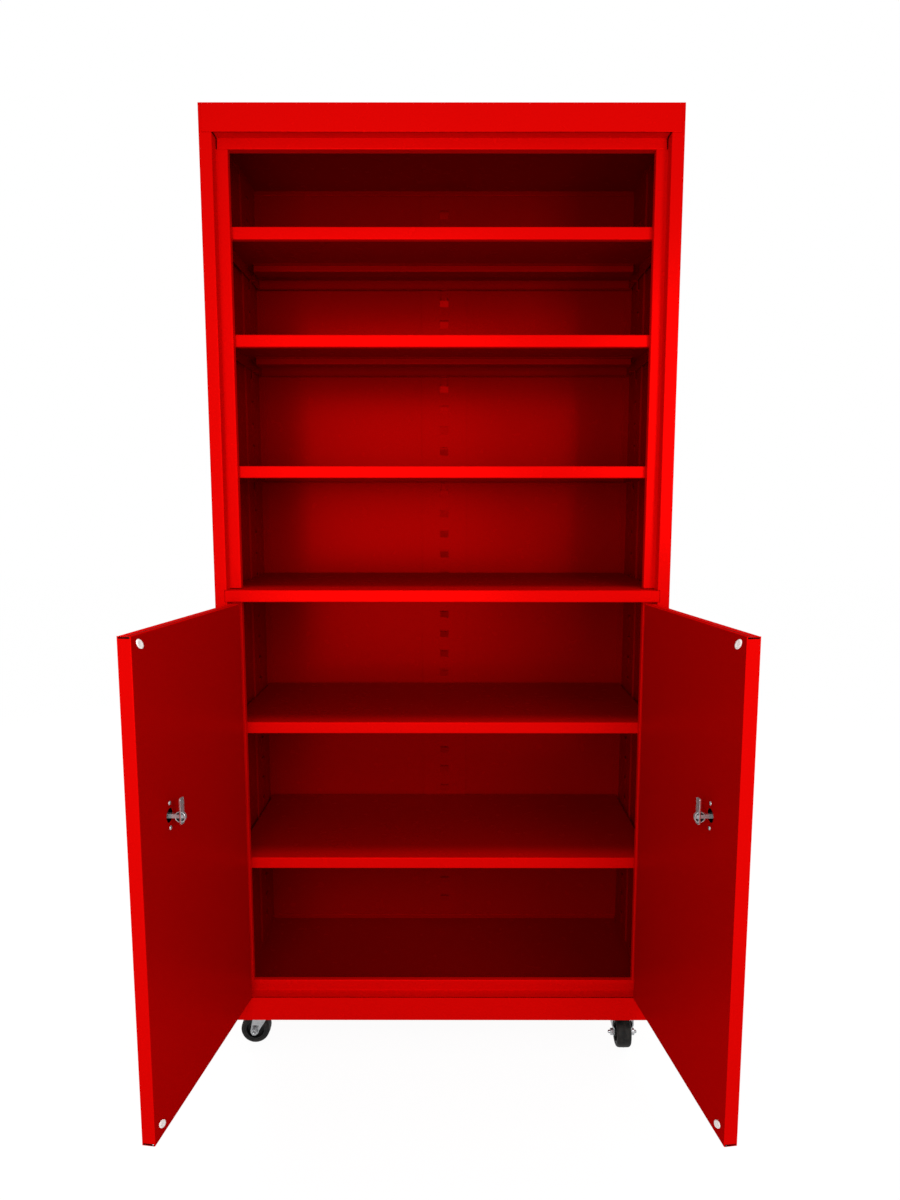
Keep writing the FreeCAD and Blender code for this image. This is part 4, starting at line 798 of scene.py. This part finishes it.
# %% Tyre and hub
TYRE_HALF = [(0.0, 31.75), (0.3, 31.7), (0.55, 31.4), (8.5, 31.3), (11.8, 30.9), (14.0, 29.7),
             (15.4, 27.7), (16.0, 25.4), (15.6, 24.7), (15.3, 22.75)]
BOSS_HALF = [(16.75, 4.05), (16.75, 8.3), (16.1, 9.0), (4.6, 9.5), (3.5, 10.6), (3.5, 14.0)]
HUB_HALF = [(3.5, 18.2), (4.4, 19.1), (14.3, 19.3), (14.95, 19.9), (14.95, 22.1), (14.4, 22.7)]


def wheel_pieces(label):
    """The tyre, and the hub from its boss over the web to its rim."""
    place = castor_frame(label)
    bm = bmesh.new()
    join_into(bm, spun(mirrored(TYRE_HALF), ACROSS, steps=72, closed=True), place)
    finish_piece(bm, label + "_round_tyre", label + "_tyre", [tyre_rubber], smooth_deg=40.0)
    half = BOSS_HALF + HUB_HALF
    profile = half + [(-x, r) for x, r in reversed(half)]
    bm = bmesh.new()
    join_into(bm, spun(profile, ACROSS, steps=48, closed=True), place)
    finish_piece(bm, label + "_moulded_hub", label + "_hub", [hub_plastic], smooth_deg=32.0)


# %% [markdown]
# The fork is one strip of steel, bent over the wheel: straight at the axle, then flared, then round
# into the crown. Its section is drawn once, swept sideways by a spin without an angle, and the
# rows are then moved to the width that the leg has at their height. Solidify gives the thickness.

# %% The pressed fork
FORK_HALF = [(20.1, -9.0), (20.1, -8.2), (20.1, -6.2), (20.1, -3.2), (20.1, 0.0), (20.1, 8.5),
             (20.6, 10.6), (22.6, 14.0), (23.9, 16.4), (24.4, 19.0), (24.4, 37.6), (23.5, 40.9),
             (21.6, 42.8), (18.6, 43.45), (14.0, 43.45), (9.0, 43.45), (4.0, 43.45)]
FORK_RIM, FORK_HEEL, FORK_HIGH = 9.0, 35.0, 43.45
TRAIL, CROWN_RADIUS, CROWN_HALF = 20.0, 24.5, 19.0
FORK_THICK, FORK_SOFT, FORK_ROWS = 2.6 * MM, 0.6 * MM, 10


def fork_reach(across, height):
    """From where to where the strip reaches along Y, beside a point of its section."""
    if height <= 0.0:
        half = math.sqrt(max(FORK_RIM ** 2 - height ** 2, 0.0))
        return -half, half
    share = height / FORK_HIGH
    low, high = -FORK_RIM + FORK_RIM * share, FORK_RIM + (FORK_HEEL - FORK_RIM) * share
    if abs(across) < CROWN_HALF:
        half = math.sqrt(CROWN_RADIUS ** 2 - across ** 2)
        low, high = min(low, TRAIL - half), max(high, TRAIL + half)
    return low, high


def pressed_fork(label):
    """The fork: a swept section whose rows are spread to the width of the strip."""
    bm = bmesh.new()
    section = [(-x, z) for x, z in FORK_HALF] + list(reversed(FORK_HALF))
    verts = [bm.verts.new(Vector((x, 0.0, z)) * MM) for x, z in section]
    edges = [bm.edges.new(pair) for pair in zip(verts, verts[1:])]
    bmesh.ops.spin(bm, geom=verts + edges, cent=(0.0, 0.0, 0.0), axis=ACROSS, angle=0.0,
                   dvec=(0.0, MM / FORK_ROWS, 0.0), steps=FORK_ROWS, use_merge=False,
                   use_duplicate=False)
    for vert in bm.verts:
        low, high = fork_reach(vert.co.x / MM, vert.co.z / MM)
        vert.co.y = (low + (high - low) * vert.co.y / MM) * MM
    bmesh.ops.remove_doubles(bm, verts=bm.verts, dist=0.01 * MM)
    bmesh.ops.recalc_face_normals(bm, faces=bm.faces)
    crown = max(bm.faces, key=lambda face: face.calc_center_median().z)
    if crown.normal.z < 0.0:
        bmesh.ops.reverse_faces(bm, faces=bm.faces)
    bmesh.ops.solidify(bm, geom=bm.faces, thickness=FORK_THICK)
    soften(bm, FORK_SOFT, least_deg=60.0)
    placed = bmesh.new()
    join_into(placed, bm, castor_frame(label))
    return finish_piece(placed, label + "_pressed_fork", label + "_fork", [worn_zinc],
                        smooth_deg=40.0)


# %% [markdown]
# The axle is a bolt with a nut at each side. A turned bolt end has a rounded tip. A real nut has
# its corners cut back by a cone, and a narrow bevel round a six-sided prism comes near that.

# %% The axle bolt
NUT_START, NUT_LENGTH, NUT_CORNER = 20.1, 6.0, 7.5


def hexagon(start):
    """A nut: a six-sided prism with softened edges, along X."""
    bm = bmesh.new()
    bmesh.ops.create_cone(bm, cap_ends=True, segments=6, radius1=NUT_CORNER * MM,
                          radius2=NUT_CORNER * MM, depth=NUT_LENGTH * MM,
                          matrix=Matrix.Rotation(math.pi / 2, 4, "Y"))
    middle = Vector((start + NUT_LENGTH / 2.0, 0.0, 0.0)) * MM
    bmesh.ops.translate(bm, verts=bm.verts, vec=middle)
    soften(bm, 0.7 * MM)
    return bm


def axle_bolt(label):
    """A turned bolt with a nut outside each leg of the fork."""
    profile = [(-31.6, 0.0), (-31.5, 1.6), (-31.0, 2.7), (-30.2, 3.3), (-26.3, 3.8), (-20.1, 4.0),
               (20.1, 4.0), (26.3, 3.8), (30.2, 3.3), (31.0, 2.7), (31.5, 1.6), (31.6, 0.0)]
    place = castor_frame(label)
    bm = bmesh.new()
    join_into(bm, spun(profile, ACROSS, steps=24), place)
    for start in (-NUT_START - NUT_LENGTH, NUT_START):
        join_into(bm, hexagon(start), place)
    node = label + "_axle"
    return finish_piece(bm, label + "_axle_bolt", node, [worn_zinc])


# %% Make the four castors
for label in ("front_left", "front_right", "rear_left", "rear_right"):
    wheel_pieces(label)
    pressed_fork(label)
    axle_bolt(label)

# %% [markdown]
# ## Small hardware
# Plates, studs, hinges and shelf clips keep their CAD shape and get softened edges.

# %% Soften the small hardware
HARDWARE = {"castor_plates": 0.5, "castor_studs": 0.4, "left_hinge_frame_leaves": 0.25,
            "right_hinge_frame_leaves": 0.25, "left_hinge_door_leaves": 0.25,
            "right_hinge_door_leaves": 0.25, "hinge_pins": 0.3, "shelf_clips": 0.3}
for node, width in HARDWARE.items():
    softened_piece(node, width)


# %% [markdown]
# ## Camera, floor and light
# The camera stands in front of the cabinet a little above the middle of its height and looks
# slightly down. Its place and focal length were worked out from the perspective of the shelves.

# %% The camera
SENSOR = 36.0


def place_camera():
    """A view from 1.7 m before the case, at 1.18 m over the floor."""
    focal_px, centre_x, centre_y = 853.4, 452.06, 615.44
    image_width, image_height = 900, 1200
    pitch, yaw, roll = 0.12954, -0.00055, -0.00049
    aside, front_face, distance = 20.66, -12.53, 1705.75
    over_case_foot, case_foot = 1098.93, 82.6
    data = bpy.data.cameras.new("camera")
    data.sensor_width = SENSOR
    data.lens = focal_px * SENSOR / image_height
    data.shift_x = (image_width / 2 - centre_x) / image_height
    data.shift_y = (centre_y - image_height / 2) / image_height
    camera = bpy.data.objects.new("camera", data)
    camera.location = (aside * MM, (front_face - distance) * MM,
                       (over_case_foot + case_foot) * MM)
    camera.rotation_euler = (math.pi / 2 - pitch, roll, -yaw)
    bpy.context.collection.objects.link(camera)
    bpy.context.scene.camera = camera
    return camera


camera = place_camera()


# %% [markdown]
# The background of a product picture is white. The floor is a wide plane that answers camera,
# glossy and transmission rays with nearly plain white, and diffuse rays as a pale floor does, so
# that the object keeps its shadow without burning out.

# %% Floor and backdrop
FLOOR_SIZE, FLOOR_GREY, FLOOR_GLOW, FLOOR_WHITENING = 12.0, 0.55, 1.08, 0.88
SKY_LEVEL, SKY_RISE = 0.42, 0.45


def white_for_camera(tree):
    """A socket that is 1 for rays that show the background."""
    path = tree.nodes.new("ShaderNodeLightPath")
    seen = math_node(tree, "MAXIMUM", path.outputs["Is Camera Ray"], path.outputs["Is Glossy Ray"])
    return math_node(tree, "MAXIMUM", seen, path.outputs["Is Transmission Ray"])


def make_floor():
    """The plane under the castors, which is not part of the cabinet."""
    bm = bmesh.new()
    bmesh.ops.create_grid(bm, x_segments=1, y_segments=1, size=FLOOR_SIZE)
    mesh = bpy.data.meshes.new("floor")
    bm.to_mesh(mesh)
    bm.free()
    floor = bpy.data.objects.new("floor", mesh)
    bpy.context.collection.objects.link(floor)
    material = bpy.data.materials.new("pale_floor")
    material.use_nodes = True
    tree = material.node_tree
    shader = tree.nodes["Principled BSDF"]
    shader.inputs["Base Color"].default_value = (FLOOR_GREY,) * 3 + (1.0,)
    shader.inputs["Roughness"].default_value = 0.9
    shader.inputs["Specular IOR Level"].default_value = 0.0
    glow = tree.nodes.new("ShaderNodeEmission")
    glow.inputs["Strength"].default_value = FLOOR_GLOW
    blend = tree.nodes.new("ShaderNodeMixShader")
    strength = math_node(tree, "MULTIPLY", white_for_camera(tree), FLOOR_WHITENING)
    tree.links.new(strength, blend.inputs["Fac"])
    tree.links.new(shader.outputs[0], blend.inputs[1])
    tree.links.new(glow.outputs[0], blend.inputs[2])
    tree.links.new(blend.outputs[0], tree.nodes["Material Output"].inputs["Surface"])
    mesh.materials.append(material)
    return floor


floor = make_floor()


def make_world():
    """White where the camera looks, and a soft sky that brightens upwards as a light."""
    world = bpy.data.worlds.new("studio")
    bpy.context.scene.world = world
    world.use_nodes = True
    tree = world.node_tree
    background = tree.nodes["Background"]
    background.inputs["Color"].default_value = (1.0, 1.0, 1.0, 1.0)
    axes = tree.nodes.new("ShaderNodeSeparateXYZ")
    tree.links.new(tree.nodes.new("ShaderNodeTexCoord").outputs["Generated"], axes.inputs[0])
    height = math_node(tree, "MAXIMUM", axes.outputs["Z"], 0.0)
    sky = math_node(tree, "MULTIPLY_ADD", height, SKY_RISE, SKY_LEVEL)
    seen = white_for_camera(tree)
    missing = math_node(tree, "SUBTRACT", 1.0, sky)
    strength = math_node(tree, "MULTIPLY_ADD", seen, missing, sky)
    tree.links.new(strength, background.inputs["Strength"])


make_world()


# %% [markdown]
# The photograph has soft light from the front. A wide panel left of the camera gives the main
# light, and a smaller one to the right brightens the other side. Two fills behind the cabinet
# give the back and the sides their gloss in other views. Area lamps are taken, since a point or a
# sun would draw hard edges on the shelves.

# %% Lamps
def area_lamp(name, place, aim, size, power):
    """A rectangular lamp at a place, in metres, turned towards its aim; power in watts."""
    data = bpy.data.lights.new(name, "AREA")
    data.shape = "RECTANGLE"
    data.size, data.size_y = size
    data.energy = power
    lamp = bpy.data.objects.new(name, data)
    lamp.location = place
    lamp.rotation_euler = (Vector(aim) - Vector(place)).to_track_quat("-Z", "Y").to_euler()
    bpy.context.collection.objects.link(lamp)
    return lamp


area_lamp("wide_panel", (-0.27, -1.95, 1.3), (-0.2, 0.0, 1.2), (1.0, 1.7), 22.5)
area_lamp("side_panel", (0.95, -1.7, 1.5), (0.0, 0.2, 1.1), (0.5, 0.9), 11.0)
area_lamp("back_left_fill", (-2.0, 2.3, 2.1), (-0.2, 0.4, 1.2), (0.9, 1.6), 26.0)
area_lamp("back_right_fill", (2.4, 1.5, 1.7), (0.3, 0.3, 1.0), (0.8, 1.4), 14.0)

# %% [markdown]
# ## Finish
# The colours are shown through the Standard view transform, and the view layer is brought up to date.

# %% The view transform
bpy.context.scene.view_settings.view_transform = "Standard"
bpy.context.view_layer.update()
